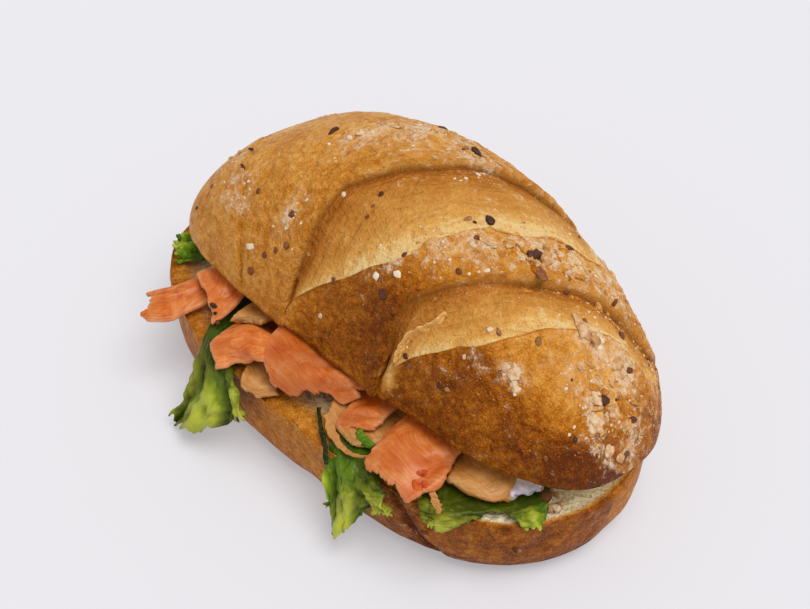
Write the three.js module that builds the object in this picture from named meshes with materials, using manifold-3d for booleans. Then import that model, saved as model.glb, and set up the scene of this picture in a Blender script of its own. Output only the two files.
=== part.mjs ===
// A filled bread roll: a seeded, slashed roll cut in two, with lettuce, smoked salmon, pale slices
// and a dab of cream between the halves. Millimetres, +Z up. The origin is the centre of the flat
// underside, +X runs along the roll and the open side of the sandwich faces -Y.

import * as THREE from 'three';
import { mergeVertices } from 'three/addons/utils/BufferGeometryUtils.js';
import Module from 'manifold-3d';

const wasm = await Module();
wasm.setup();

// ---------------------------------------------------------------- driving dimensions

const GAP = 0.3;                  // air kept between neighbouring pieces
const WELD = 1e-3;                // points closer than this are one point

// The bottom half: a long rounded block with a flat cut face that slopes down to the back.
const BASE = {
  halfLength: 86.9,
  halfWidth: 47.0,
  blunt: 2.6,                     // 2 is an ellipse, more is a blunter end
  bow: -2.0,                      // how far the middle is pushed to the front
  height: 27.8,                   // cut face at the front rim
  slope: 0.03,                    // fall of the cut face towards the back, per millimetre
};
// Height as a share of the rim height, and how far the wall is pulled in there.
const BASE_RINGS = [[0, 8.0], [0.08, 4.4], [0.2, 2.0], [0.42, 0.5], [0.7, 0], [0.95, 0], [1, 0.6]];

// The top half: a domed loaf with a flat cut underside, hinged open along its back rim.
const LID = {
  halfLength: 84.6,
  halfWidth: 41.8,
  height: 53.6,
  bluntLeft: 3.58,                // outline seen from above, at each end
  bluntRight: 2.77,
  domeLeft: 1.9,                  // fall of the crown towards each end
  domeRight: 1.7,
  boxy: 2.3,                      // 2 is a round section, more is fuller at the shoulders
  taperWidth: -0.06,
  taperHeight: -0.07,
  bow: 4.2,
  open: 11.64,                    // degrees that the lid is tipped up at the front
  turn: -1.76,                    // degrees about the vertical
  hinge: [4.3, 46.4, 26.3],       // the back rim, where the lid leans on the base
};

// The baker's slashes, across the loaf. Each starts at x on the front rim, runs straight up to the
// angle "bend", then slants to the right by "slant" millimetres a degree. The cut has opened into a
// smooth bloom below a raised lip on its left. The bloom is "width" wide from the angle "opens" on,
// and loses the share "narrows" of that over the crown.
const SLASHES = [
  { x: -40, bend: 2, slant: -0.4, width: 30, opens: 60, narrows: 0, depth: 0.8, lip: 0.4 },
  { x: -21.5, bend: 58, slant: 0.55, width: 33, opens: 54, narrows: 0, depth: 2.4, lip: 1.6 },
  { x: 18, bend: 37, slant: 0.51, width: 22, opens: 44, narrows: 0.4, depth: 2.6, lip: 1.8 },
];
const LIP_LENGTH = 9;             // over which a lip sinks back to the crust
const FIRST_LIP = -0.86;          // slashes stay between these shares of the half length
const LAST_LIP = 0.8;
const LAST_BLOOM = 0.86;          // and the last bloom ends by this share
const NARROWS = [40, 95];         // degrees round the loaf between which a bloom gets narrower
const CLOSES = [112, 158];        // degrees round the loaf between which a slash runs out
const BLOOM_CURVE = 1.4;          // 1 is a straight slope up from the lip to the far edge of a bloom
const LEAST_BLOOM = 2;            // mesh lines stay this far apart where a bloom has closed
const LEAST_RIDGE = 3;            // and this far apart between one bloom and the next slash
const TIP_FADE = 8;               // the relief dies out towards the tips with this power

// A sheet is thinnest at its rim, reaches its full thickness this share of its width further in, and
// its waves lean by so much from the inside to the outer edge.
const RIM_THICKNESS = 0.6;
const RIM_SHARE = 0.12;
const WAVES_START = 0.6;
const WAVE_LEAN = 3;

// Fillings are sheets through a net of points: each row is a rib, from deep inside the roll to the
// outer edge, and the rows follow one another from left to right.
const SALMON = 2.2;
const PALE = 2.5;
const LEAF = 1.3;

const FILLINGS = {
  salmon_front: {
    kind: 'salmon', thick: SALMON, cells: [9, 8], ripple: 0.7, waves: 2.2,
    net: [
      [[30, 0, 31.2], [29, -20, 34.2], [32.3, -42, 34.5], [31.8, -46.4, 31.9], [36.8, -48.2, 30.9]],
      [[36, 2, 31.4], [36, -16, 35.5], [33.6, -33.3, 37], [37.6, -40.4, 34.8], [43.6, -48.6, 30.8]],
      [[45, 2, 31.4], [45, -14, 35], [42.7, -31.2, 36.8], [45.8, -36.5, 34], [49.3, -44.2, 30.9]],
      [[52, 0, 31], [52, -14, 33.8], [50.4, -28.8, 35.2], [51.3, -32.9, 33.2], [52.4, -37.8, 31.2]],
    ],
  },
  salmon_long_left: {
    kind: 'salmon', thick: SALMON, cells: [10, 9], ripple: 0.5, waves: 2.6,
    net: [
      [[-33, -8, 30.4], [-36, -26, 31], [-35.3, -42.5, 33.6], [-35.1, -47.5, 32], [-28.1, -51.5, 29.8]],
      [[-28, -6, 30.4], [-29, -26, 31.6], [-28.7, -36.6, 37.6], [-26.7, -42.9, 36], [-22.9, -46.7, 32.4]],
      [[-20, -6, 31.6], [-19, -24, 35], [-21.3, -34.8, 39.4], [-20.2, -40.3, 38], [-19, -43.8, 35]],
      [[-9, -6, 33.4], [-8, -22, 37.4], [-9.6, -33.6, 39.4], [-12.6, -39.2, 38], [-13.9, -42.3, 35.4]],
      [[0, -8, 34.4], [1, -22, 38.2], [-4.6, -31.4, 39.4], [-5.2, -36, 38.2], [-6.2, -40.6, 35.4]],
    ],
  },
  salmon_long_right: {
    kind: 'salmon', thick: SALMON, cells: [8, 8], ripple: 0.5, waves: 2.1,
    net: [
      [[-14, -12, 30.6], [-14, -30, 31.6], [-8.6, -42.2, 32.2], [-5.7, -45.8, 31]],
      [[0, -8, 31.8], [0, -28, 34.4], [-0.6, -38.4, 35.2], [2, -43.2, 31.8]],
      [[11, -6, 33], [11, -24, 36.8], [6, -33.6, 38], [8.4, -37.8, 33.6]],
      [[21, -6, 33.2], [21, -22, 37], [14.6, -31.4, 38.9], [16.6, -31.8, 37.6]],
    ],
  },
  salmon_middle: {
    kind: 'salmon', thick: 1.9, cells: [6, 8], ripple: 0.4, waves: 1.6,
    net: [
      [[6, -2, 30.2], [6, -20, 32], [13.6, -34.2, 34], [14.4, -41.4, 32.2], [17, -43.6, 30.8]],
      [[16, 0, 30.2], [17, -18, 32.6], [19.4, -31.6, 35], [19.8, -36, 34.2], [20.8, -39.5, 31.8]],
      [[25, 0, 30.2], [25, -16, 33.2], [26, -31, 35.8], [26.6, -33.2, 35.4], [25.9, -36.6, 34]],
    ],
  },
  salmon_left_fold: {
    kind: 'salmon', thick: SALMON, cells: [8, 6], ripple: 0.4, waves: 1.7,
    net: [
      [[-55, 0, 33.2], [-58, -12, 34.6], [-57.4, -26.4, 36.5], [-59.1, -31.7, 35.5]],
      [[-48, -2, 33.4], [-50, -14, 35.2], [-45.4, -29.6, 36.6], [-49.1, -36.7, 35.2]],
      [[-41, -6, 34.4], [-43, -18, 35.8], [-38.6, -33, 35.8], [-41.1, -41, 31.6]],
    ],
  },
  salmon_left_tip: {
    kind: 'salmon', thick: 2.0, cells: [4, 10], ripple: 0.4, waves: 0.9,
    net: [
      [[-46, 4, 29.6], [-54, -12, 31], [-61.4, -31.8, 32.4], [-63.7, -38.2, 33], [-68, -44, 31.4]],
      [[-42, 2, 29.6], [-51, -15, 31], [-58, -34, 32], [-60.6, -41.4, 32.6], [-66.8, -47.2, 30.6]],
      [[-38, 0, 29.6], [-48, -18, 30.8], [-54.4, -36.5, 31], [-57.2, -44, 31], [-64.7, -49.2, 29.2]],
    ],
  },
  pale_slice_right: {
    kind: 'pale', thick: PALE, cells: [8, 7], ripple: 0.25, waves: 1.5,
    net: [
      [[41, 4, 28.6], [43, -12, 30.2], [50.6, -31, 31.4], [51.6, -33.4, 31.2]],
      [[50, 4, 28.6], [52, -12, 30.4], [59, -28, 32.8], [60.2, -33.4, 31.6]],
      [[60, 2, 28.6], [61, -10, 30.4], [64.6, -24.6, 32.6], [68, -29.8, 30.9]],
      [[66, 0, 28.6], [67, -8, 30], [67.6, -22.8, 31.6], [70, -25.8, 30.8]],
    ],
  },
  pale_slice_middle: {
    kind: 'pale', thick: 1.8, cells: [6, 6], ripple: 0.2, waves: 1.3,
    net: [
      [[10, 4, 28], [12, -16, 29.2], [20.9, -40.4, 31], [22.7, -42.2, 30.9]],
      [[20, 4, 28], [21, -14, 29.3], [25.8, -36.4, 31.2], [28.8, -39, 30.9]],
      [[30, 4, 28], [31, -12, 29.4], [30.4, -32, 31.3], [33.4, -35.6, 31.1]],
    ],
  },
  pale_slice_left: {
    kind: 'pale', thick: 1.8, cells: [5, 6], ripple: 0.2, waves: 1.2,
    net: [
      [[-39, 2, 31.8], [-38, -14, 32.8], [-36.8, -33.2, 35.6], [-36.4, -38.4, 34.2]],
      [[-31, 2, 31.8], [-31, -14, 33], [-30.4, -32, 37.2], [-31.4, -35.6, 36.8]],
      [[-24, 0, 32.2], [-24, -14, 33.8], [-25.4, -31, 38.6], [-25.6, -33.2, 38.4]],
    ],
  },
  pale_slice_lobe: {
    kind: 'pale', thick: 1.8, cells: [5, 7], ripple: 0.25, waves: 1.1,
    net: [
      [[-29, 0, 27.9], [-26, -24, 28.7], [-21, -44.6, 29.7], [-17.9, -50, 28.2]],
      [[-22, 0, 27.9], [-20, -24, 28.7], [-17.6, -43.8, 29.8], [-14, -49.2, 28.2]],
      [[-15, 0, 27.9], [-14, -22, 28.7], [-14, -42, 29.8], [-10.6, -47.4, 28.9]],
    ],
  },
  cream_dab: {
    kind: 'cream', thick: 3.2, cells: [6, 6], ripple: 0.4, waves: 2.3,
    net: [
      [[65, -4, 29], [68.6, -17.6, 31.2], [70.6, -21.4, 30.8]],
      [[68.6, -2, 28.8], [70.6, -14.6, 31.2], [72.4, -18.6, 30.4]],
      [[72, 0, 28.6], [72, -11.4, 30.4], [73.8, -14.6, 29.8]],
    ],
  },
  lettuce_left_front: {
    kind: 'leaf', thick: LEAF, cells: [11, 12], ripple: 1.9, waves: 2.6,
    net: [
      [[-52, -8, 27.7], [-49, -28, 28.2], [-43.6, -42, 28.8], [-43, -51.4, 19], [-44.6, -59, 4.4]],
      [[-44, -6, 27.7], [-42, -28, 28.2], [-38.6, -43.8, 29], [-33, -54, 20], [-37, -60.5, 1.6]],
      [[-36, -6, 27.7], [-34, -28, 28.2], [-31.4, -45, 29], [-22.6, -53.4, 22.4], [-19, -57, 15.4]],
      [[-29, -8, 27.7], [-28, -28, 28.2], [-25.2, -45.6, 29], [-17.4, -52.4, 26], [-9, -54.6, 21.6]],
    ],
  },
  lettuce_centre: {
    kind: 'leaf', thick: LEAF, cells: [11, 12], ripple: 1.8, waves: 2.9,
    net: [
      [[6, -8, 27.7], [8, -26, 28.2], [15, -44, 28.8], [19.4, -52, 19.4], [23.6, -55, 12.8]],
      [[14, -6, 27.7], [16, -26, 28.2], [22, -45, 29], [27.4, -53, 21], [30.6, -58, 6.8]],
      [[24, -6, 27.7], [25, -26, 28.2], [29.2, -45.4, 29], [34, -51.6, 23.4], [37.6, -53, 16.4]],
      [[33, -8, 27.7], [33, -26, 28.2], [36.4, -44.6, 28.8], [42, -50, 25], [46.6, -50.6, 20]],
    ],
  },
  lettuce_right: {
    kind: 'leaf', thick: LEAF, cells: [14, 9], ripple: 1.7, waves: 4.4,
    net: [
      [[44, -10, 27.7], [45, -24, 28.1], [47.4, -39.4, 28.7], [50.8, -46, 26.6], [53, -46.6, 19.8]],
      [[54, -8, 27.6], [55, -20, 28], [57.6, -35.4, 28.7], [61, -42, 26.6], [62.4, -43, 20]],
      [[63, -8, 27.6], [64, -16, 27.9], [66.4, -29.6, 28.6], [70.4, -35.4, 27.2], [72, -36, 21]],
      [[69, -10, 27.6], [70.6, -16, 27.9], [74.4, -25, 28.5], [79, -28, 27.8], [83.6, -27.6, 22.2]],
    ],
  },
  lettuce_left_end: {
    kind: 'leaf', thick: LEAF, cells: [8, 9], ripple: 1.5, waves: 2.2,
    net: [
      [[-52, 4, 27.5], [-66, -4, 27.9], [-79.2, -19.6, 30.2], [-84.6, -22.6, 27.6]],
      [[-52, -2, 27.6], [-65, -10, 28], [-75.2, -23.4, 30.2], [-80.2, -27.6, 26.4]],
      [[-52, -8, 27.7], [-63, -17, 28.2], [-69.6, -26.8, 30], [-74, -30.6, 26.2]],
    ],
  },
};

const MATERIALS = {
  crust_base: new THREE.MeshStandardMaterial({ color: 0xa86a2a, roughness: 0.62, metalness: 0 }),
  crust_lid: new THREE.MeshStandardMaterial({ color: 0xb87834, roughness: 0.5, metalness: 0 }),
  salmon: new THREE.MeshStandardMaterial({ color: 0xd9713c, roughness: 0.35, metalness: 0 }),
  pale: new THREE.MeshStandardMaterial({ color: 0xd0a478, roughness: 0.45, metalness: 0 }),
  leaf: new THREE.MeshStandardMaterial({ color: 0x7c9a2c, roughness: 0.5, metalness: 0 }),
  cream: new THREE.MeshStandardMaterial({ color: 0xe8dfe2, roughness: 0.4, metalness: 0 }),
};

// ---------------------------------------------------------------- small mathematics

const radians = THREE.MathUtils.degToRad;
const smooth = THREE.MathUtils.smoothstep;
const signedPower = (value, power) => Math.sign(value) * Math.abs(value) ** power;
const superRound = (u, power) => Math.max(0, 1 - Math.abs(u) ** power) ** (1 / power);

// A smooth curve value at t (0 to 1) through evenly spaced numbers: the Catmull-Rom spline.
function through(values, t) {
  const last = values.length - 1;
  const place = Math.min(t * last, last - 1e-9);
  const i = Math.floor(place);
  const f = place - i;
  const before = i > 0 ? values[i - 1] : 2 * values[0] - values[1];
  const after = i + 2 <= last ? values[i + 2] : 2 * values[last] - values[last - 1];
  const [b, c] = [values[i], values[i + 1]];
  return 0.5 * (2 * b + (c - before) * f + (2 * before - 5 * b + 4 * c - after) * f * f
    + (3 * b - before - 3 * c + after) * f ** 3);
}

// A geometry from points and triangles, as a closed mesh with its shared points merged.
function geometryFrom(points, triangles) {
  const geometry = new THREE.BufferGeometry();
  geometry.setAttribute('position', new THREE.Float32BufferAttribute(points.flat(), 3));
  geometry.setIndex(triangles.flat());
  return geometry;
}

// ---------------------------------------------------------------- booleans

function solidFrom(geometry) {
  const bare = geometry.clone();
  bare.deleteAttribute('normal');
  bare.deleteAttribute('uv');
  const merged = mergeVertices(bare, WELD);
  return new wasm.Manifold(new wasm.Mesh({
    numProp: 3,
    vertProperties: new Float32Array(merged.attributes.position.array),
    triVerts: new Uint32Array(merged.index.array),
  }));
}

function geometryFromSolid(solid) {
  const mesh = solid.getMesh();
  const geometry = new THREE.BufferGeometry();
  geometry.setAttribute('position', new THREE.BufferAttribute(new Float32Array(mesh.vertProperties), 3));
  geometry.setIndex(new THREE.BufferAttribute(new Uint32Array(mesh.triVerts), 1));
  return geometry;
}

const largest = (solid) => solid.decompose().sort((a, b) => b.volume() - a.volume())[0];

// ---------------------------------------------------------------- bottom half of the roll

const BASE_SIDES = 64;

const cutHeight = (y, grow) => BASE.height - BASE.slope * (y + BASE.halfWidth) + grow;

// The outline at an angle round the roll, pulled in by "inset".
function baseOutline(angle, inset) {
  const power = 2 / BASE.blunt;
  const u = signedPower(Math.cos(angle), power);
  const v = signedPower(Math.sin(angle), power);
  return [
    (BASE.halfLength - inset) * u,
    (BASE.halfWidth - inset) * v + BASE.bow * (1 - u * u),
  ];
}

function bottomHalf(grow = 0) {
  const points = [];
  for (const [share, inset] of BASE_RINGS) {
    for (let k = 0; k < BASE_SIDES; k += 1) {
      const [x, y] = baseOutline((2 * Math.PI * k) / BASE_SIDES, inset - grow);
      const height = share === 0 ? -grow : share * cutHeight(y, grow);
      points.push([x, y, height]);
    }
  }
  const bottomCentre = points.push([0, 0, -grow]) - 1;
  const topCentre = points.push([0, 0, cutHeight(0, grow)]) - 1;
  const triangles = [];
  const topRing = (BASE_RINGS.length - 1) * BASE_SIDES;
  for (let k = 0; k < BASE_SIDES; k += 1) {
    const next = (k + 1) % BASE_SIDES;
    triangles.push([bottomCentre, next, k], [topCentre, topRing + k, topRing + next]);
    for (let ring = 0; ring < topRing; ring += BASE_SIDES) {
      const [a, b, c, d] = [ring + k, ring + next, ring + BASE_SIDES + next, ring + BASE_SIDES + k];
      triangles.push([a, b, c], [a, c, d]);
    }
  }
  return geometryFrom(points, triangles);
}

// ---------------------------------------------------------------- top half of the roll

const LID_ROUND = 22;             // steps from the front rim over the crown to the back rim
const LID_STEPS = [7, 6, 5, 4, 4, 8];  // steps along the roll between the lines at the slashes
const LIP_PARTS = [1, 2, 4];      // which of those stretches start at a lip
const LIP_STEP = 0.35;            // half the length over which a lip drops into its bloom

// Where a slash's lip runs, and how wide its bloom is, at an angle round the loaf.
function lipAt(slash, degrees) {
  const x = slash.x + slash.slant * Math.max(0, degrees - slash.bend);
  return THREE.MathUtils.clamp(x, FIRST_LIP * LID.halfLength, LAST_LIP * LID.halfLength);
}

const bloomAt = (slash, degrees) => slash.width * smooth(degrees, 0, slash.opens)
  * (1 - slash.narrows * smooth(degrees, NARROWS[0], NARROWS[1]))
  * (1 - smooth(degrees, CLOSES[0], CLOSES[1]));

// Height of the crust above the plain loaf: a lip left of each slash, a sunken bloom right of it.
function relief(x, degrees) {
  const fade = 1 - smooth(degrees, CLOSES[0], CLOSES[1]);
  let height = 0;
  for (const slash of SLASHES) {
    const lip = lipAt(slash, degrees);
    const width = bloomAt(slash, degrees);
    if (x < lip) {
      height += slash.lip * fade * Math.exp((x - lip) / LIP_LENGTH);
    } else if (x < lip + width) {
      height -= slash.depth * fade * (1 - (x - lip) / width) ** BLOOM_CURVE;
    }
  }
  return height;
}

// The x positions of one section of the mesh: a pair of lines at each slash, so its step is sharp.
function lidStations(degrees) {
  const ease = (t) => Math.sin((t * Math.PI) / 2);
  const stations = [];
  const [first, second, third] = SLASHES.map((slash) => lipAt(slash, degrees));
  const secondEnd = second + Math.max(LEAST_BLOOM, bloomAt(SLASHES[1], degrees));
  const thirdEnd = third + Math.max(LEAST_BLOOM, bloomAt(SLASHES[2], degrees));
  const edges = [
    -LID.halfLength,
    first,
    second,
    Math.min(secondEnd, third - LEAST_RIDGE),
    third,
    Math.min(thirdEnd, LAST_BLOOM * LID.halfLength),
    LID.halfLength,
  ];
  for (let part = 0; part < LID_STEPS.length; part += 1) {
    for (let k = 0; k < LID_STEPS[part]; k += 1) {
      let t = k / LID_STEPS[part];
      if (part === 0) {
        t = 1 - ease(1 - t);
      }
      if (part === LID_STEPS.length - 1) {
        t = ease(t);
      }
      const x = edges[part] + (edges[part + 1] - edges[part]) * t;
      if (k === 0 && LIP_PARTS.includes(part)) {
        stations.push(x - LIP_STEP, x + LIP_STEP);
      } else {
        stations.push(x);
      }
    }
  }
  stations.push(LID.halfLength);
  return stations;
}

// A point of the crust in the lid's own frame, where its cut face is z = 0.
function lidPoint(x, degrees, grow) {
  const u = x / LID.halfLength;
  const ends = 1 - Math.abs(u) ** TIP_FADE;
  const rise = (relief(x, degrees) + grow) * ends;
  const plan = superRound(u, u < 0 ? LID.bluntLeft : LID.bluntRight);
  const dome = superRound(u, u < 0 ? LID.domeLeft : LID.domeRight);
  const width = LID.halfWidth * plan * (1 + LID.taperWidth * u) + rise;
  const height = LID.height * dome * (1 + LID.taperHeight * u) + rise;
  const angle = radians(degrees);
  const power = 2 / LID.boxy;
  return [
    x,
    -width * signedPower(Math.cos(angle), power) + LID.bow * (1 - u * u),
    height * Math.max(0, Math.sin(angle)) ** power - grow,
  ];
}

function topHalf(grow = 0) {
  const rows = [];
  for (let j = 0; j <= LID_ROUND; j += 1) {
    const degrees = (180 * j) / LID_ROUND;
    rows.push(lidStations(degrees).map((x) => lidPoint(x, degrees, grow)));
  }
  const across = rows[0].length;
  const points = rows.flat();
  const at = (j, i) => j * across + i;
  const triangles = [];
  for (let j = 0; j < LID_ROUND; j += 1) {
    for (let i = 0; i < across - 1; i += 1) {
      triangles.push([at(j, i), at(j, i + 1), at(j + 1, i + 1)]);
      triangles.push([at(j, i), at(j + 1, i + 1), at(j + 1, i)]);
    }
  }
  for (let i = 0; i < across - 1; i += 1) {
    triangles.push([at(0, i + 1), at(0, i), at(LID_ROUND, i)]);
    triangles.push([at(0, i + 1), at(LID_ROUND, i), at(LID_ROUND, i + 1)]);
  }
  const geometry = mergeVertices(geometryFrom(points, triangles), WELD);
  const index = [];
  for (let k = 0; k < geometry.index.count; k += 3) {
    const corner = [0, 1, 2].map((c) => geometry.index.getX(k + c));
    if (new Set(corner).size === 3) {
      index.push(...corner);
    }
  }
  geometry.setIndex(index);
  geometry.translate(0, -LID.halfWidth, 0);
  geometry.rotateX(radians(-LID.open));
  geometry.translate(0, LID.halfWidth, 0);
  geometry.rotateZ(radians(LID.turn));
  geometry.translate(LID.hinge[0], LID.hinge[1] - LID.halfWidth, LID.hinge[2]);
  return geometry;
}

// ---------------------------------------------------------------- fillings

// A point of a sheet's middle surface: s runs across the ribs, t from inside to the outer edge.
function netPoint(net, s, t) {
  return new THREE.Vector3(...[0, 1, 2].map((axis) => {
    const along = net.map((rib) => through(rib.map((point) => point[axis]), t));
    return through(along, s);
  }));
}

// A closed sheet around that surface: it ripples more towards its outer edge and thins at its rim.
// It can be made thicker on each side by "grow" and wider on each edge by "spread".
function sheet({ net, thick, cells, ripple, waves }, grow = 0, spread = 0) {
  const [across, along] = cells;
  const tops = [];
  const bottoms = [];
  const step = 1e-3;
  for (let i = 0; i <= across; i += 1) {
    for (let j = 0; j <= along; j += 1) {
      const s = i / across;
      const t = j / along;
      const middle = netPoint(net, s, t);
      const alongS = netPoint(net, Math.min(1, s + step), t).sub(netPoint(net, Math.max(0, s - step), t));
      const alongT = netPoint(net, s, Math.min(1, t + step)).sub(netPoint(net, s, Math.max(0, t - step)));
      const normal = alongT.normalize().cross(alongS.normalize()).normalize();
      if (normal.z < 0) {
        normal.negate();
      }
      const outer = smooth(t, WAVES_START, 1);
      const wave = ripple * outer * Math.sin(2 * Math.PI * waves * s + WAVE_LEAN * t);
      const rim = Math.min(s, 1 - s, t, 1 - t);
      const full = RIM_THICKNESS + (1 - RIM_THICKNESS) * smooth(rim, 0, RIM_SHARE);
      const half = (thick / 2) * full + grow;
      const centre = middle.addScaledVector(normal, wave);
      centre.addScaledVector(alongS, spread * (2 * s - 1));
      centre.addScaledVector(alongT, spread * (2 * t - 1));
      tops.push(centre.clone().addScaledVector(normal, half).toArray());
      bottoms.push(centre.clone().addScaledVector(normal, -half).toArray());
    }
  }
  const count = tops.length;
  const at = (i, j) => i * (along + 1) + j;
  const triangles = [];
  for (let i = 0; i < across; i += 1) {
    for (let j = 0; j < along; j += 1) {
      const [a, b, c, d] = [at(i, j), at(i + 1, j), at(i + 1, j + 1), at(i, j + 1)];
      triangles.push([a, c, b], [a, d, c]);
      triangles.push([a + count, b + count, c + count], [a + count, c + count, d + count]);
    }
  }
  const border = [];
  for (let j = 0; j < along; j += 1) {
    border.push(at(0, j));
  }
  for (let i = 0; i < across; i += 1) {
    border.push(at(i, along));
  }
  for (let j = along; j > 0; j -= 1) {
    border.push(at(across, j));
  }
  for (let i = across; i > 0; i -= 1) {
    border.push(at(i, 0));
  }
  border.forEach((a, k) => {
    const b = border[(k + 1) % border.length];
    triangles.push([a, b + count, b], [a, a + count, b + count]);
  });
  return geometryFrom([...tops, ...bottoms], triangles);
}

// ---------------------------------------------------------------- the sandwich

const roll = new THREE.Group();

function add(name, geometry, material) {
  const mesh = new THREE.Mesh(geometry, material);
  mesh.name = name;
  roll.add(mesh);
}

add('bun_base', bottomHalf(), MATERIALS.crust_base);
add('bun_lid', topHalf(), MATERIALS.crust_lid);

// Each filling gives way, by the gap, to the bread and to the fillings before it.
let taken = solidFrom(bottomHalf(GAP)).add(solidFrom(topHalf(GAP)));
for (const [name, filling] of Object.entries(FILLINGS)) {
  const whole = solidFrom(sheet(filling));
  add(name, geometryFromSolid(largest(whole.subtract(taken))), MATERIALS[filling.kind]);
  taken = taken.add(solidFrom(sheet(filling, GAP))).add(solidFrom(sheet(filling, GAP, GAP)));
}

export default roll;
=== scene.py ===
# %% [markdown]
# # A filled bread roll
# A slashed, seeded roll is cut in two, filled with smoked salmon, pale slices, frilly lettuce and a
# dab of cream, and its lid leans open at the front. The CAD frame gives every piece its place. Here
# each piece gets its real surface: crust that tore open along the baker's slashes, flour, seeds,
# muscle fibres in the fish and ruffles in the leaves.

# %% The frame
from functools import reduce

import bmesh
import bpy
import numpy as np
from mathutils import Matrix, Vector


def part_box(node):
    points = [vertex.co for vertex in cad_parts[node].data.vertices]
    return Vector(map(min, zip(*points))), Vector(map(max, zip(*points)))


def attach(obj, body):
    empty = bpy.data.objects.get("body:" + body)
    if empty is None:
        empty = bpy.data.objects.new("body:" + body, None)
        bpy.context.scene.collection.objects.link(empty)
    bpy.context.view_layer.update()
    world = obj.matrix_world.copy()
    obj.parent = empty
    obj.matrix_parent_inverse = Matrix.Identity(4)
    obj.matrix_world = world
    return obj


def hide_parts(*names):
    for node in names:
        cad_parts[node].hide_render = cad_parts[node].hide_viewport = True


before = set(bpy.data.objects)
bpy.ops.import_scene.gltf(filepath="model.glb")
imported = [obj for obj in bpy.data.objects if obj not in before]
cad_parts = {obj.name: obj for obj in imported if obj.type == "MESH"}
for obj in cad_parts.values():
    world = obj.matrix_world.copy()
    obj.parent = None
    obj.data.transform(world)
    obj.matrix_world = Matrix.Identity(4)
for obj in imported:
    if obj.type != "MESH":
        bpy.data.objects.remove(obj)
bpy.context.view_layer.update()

MM = 0.001
base_low, base_high = (np.array(corner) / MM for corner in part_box("bun_base"))
lid_low, lid_high = (np.array(corner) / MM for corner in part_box("bun_lid"))
print("bottom half, mm:", base_low.round(1), base_high.round(1))
print("top half, mm:", lid_low.round(1), lid_high.round(1))

# %% [markdown]
# ## Camera, floor and light
# The view looks down on the open front of the roll from the near right. A long lens keeps the two
# ends nearly the same size. The floor and the sky are plain and pale, and one broad soft sun stands
# high towards the right end, so the crown is bright, the sides fall off gently and the shadows are
# faint.

# %% Camera
EYE = np.array([231.5, -236.0, 389.3]) * MM
AIM = np.array([1.7, 1.2, 41.0]) * MM
LENS, SENSOR = 69.2, 36.0


def facing(direction):
    """The turn that points an object's -Z along a direction and keeps its Y upwards."""
    return Vector(direction).to_track_quat("-Z", "Y").to_euler()


def show(name, data):
    """A new object for some data, linked to the scene at the origin."""
    made = bpy.data.objects.new(name, data)
    bpy.context.scene.collection.objects.link(made)
    return made


camera_data = bpy.data.cameras.new("camera")
camera_data.lens, camera_data.sensor_width = LENS, SENSOR
camera = show("camera", camera_data)
camera.location = EYE
camera.rotation_euler = facing(AIM - EYE)
bpy.context.scene.camera = camera
print("camera is", round(float(np.linalg.norm(AIM - EYE)), 3), "m away")

# %% Floor, sky and sun
def linear(red, green, blue):
    """A colour given as 0 to 255 on screen, as the linear values that a shader needs."""
    screen = np.array([red, green, blue]) / 255
    value = np.where(screen <= 0.04045, screen / 12.92, ((screen + 0.055) / 1.055) ** 2.4)
    return (*value.tolist(), 1.0)


SKY_COLOUR, SKY_STRENGTH = (1.0, 0.985, 0.95, 1.0), 0.5
SUN_COLOUR, SUN_STRENGTH = (1.0, 0.975, 0.92), 1.9
SUN_FROM = np.array([0.36, 0.06, 1.0])
SUN_SPREAD = 0.7
FLOOR_HALF = 4.0

world = bpy.data.worlds.new("sky")
world.use_nodes = True
background = world.node_tree.nodes["Background"]
background.inputs["Color"].default_value = SKY_COLOUR
background.inputs["Strength"].default_value = SKY_STRENGTH
bpy.context.scene.world = world

sun_data = bpy.data.lights.new("sun", "SUN")
sun_data.energy, sun_data.angle, sun_data.color = SUN_STRENGTH, SUN_SPREAD, SUN_COLOUR
show("sun", sun_data).rotation_euler = facing(-SUN_FROM)

floor_mesh = bpy.data.meshes.new("floor")
floor_mesh.from_pydata(
    [(-FLOOR_HALF, -FLOOR_HALF, 0), (FLOOR_HALF, -FLOOR_HALF, 0),
     (FLOOR_HALF, FLOOR_HALF, 0), (-FLOOR_HALF, FLOOR_HALF, 0)], [], [(0, 1, 2, 3)])
show("floor", floor_mesh)

view = bpy.context.scene.view_settings
view.view_transform = "Standard"
view.look = "None"

# %% [markdown]
# ## Noise
# Bread, fish and leaves are never smooth. A lattice noise gives every cell corner of a grid in space
# a random number and blends between them, so the same point always gets the same value. Adding
# layers with smaller cells gives the broken look of crust and crumb.

# %% Lattice noise
CORNER_STEPS = np.array([73856093, 19349663, 83492791])
SEED_STEP, STIR, SHIFT, POSITIVE = 2654435761, 1103515245, 12345, 0x7FFFFFFF


def lattice(points, cell, seed):
    """Smooth random values, -1 to 1: each corner of a cubic grid of that cell size gets a number
    from its whole-number place, and a point blends its eight corners with an S-curve."""
    place = np.asarray(points, float) / cell
    corner = np.floor(place).astype(np.int64)
    part = place - corner
    part = part * part * (3 - 2 * part)
    total = np.zeros(place.shape[:-1])
    for step in range(8):
        offset = np.array([step & 1, (step >> 1) & 1, step >> 2])
        mixed = np.bitwise_xor.reduce((corner + offset) * CORNER_STEPS, axis=-1)
        mixed = (mixed + seed * SEED_STEP) & POSITIVE
        mixed = (mixed * STIR + SHIFT) & POSITIVE
        mixed = (mixed >> 7) ^ mixed
        value = (mixed & 0xFFFF) / 32767.5 - 1
        share = np.where(offset == 1, part, 1 - part).prod(-1)
        total += value * share
    return total


def layers(points, cell, seed, count=3):
    """Lattice noise added to itself with cells and heights halved at each layer."""
    total = sum(lattice(points, cell / 2 ** k, seed + k) / 2 ** k for k in range(count))
    return total / (2 - 0.5 ** (count - 1))


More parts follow.
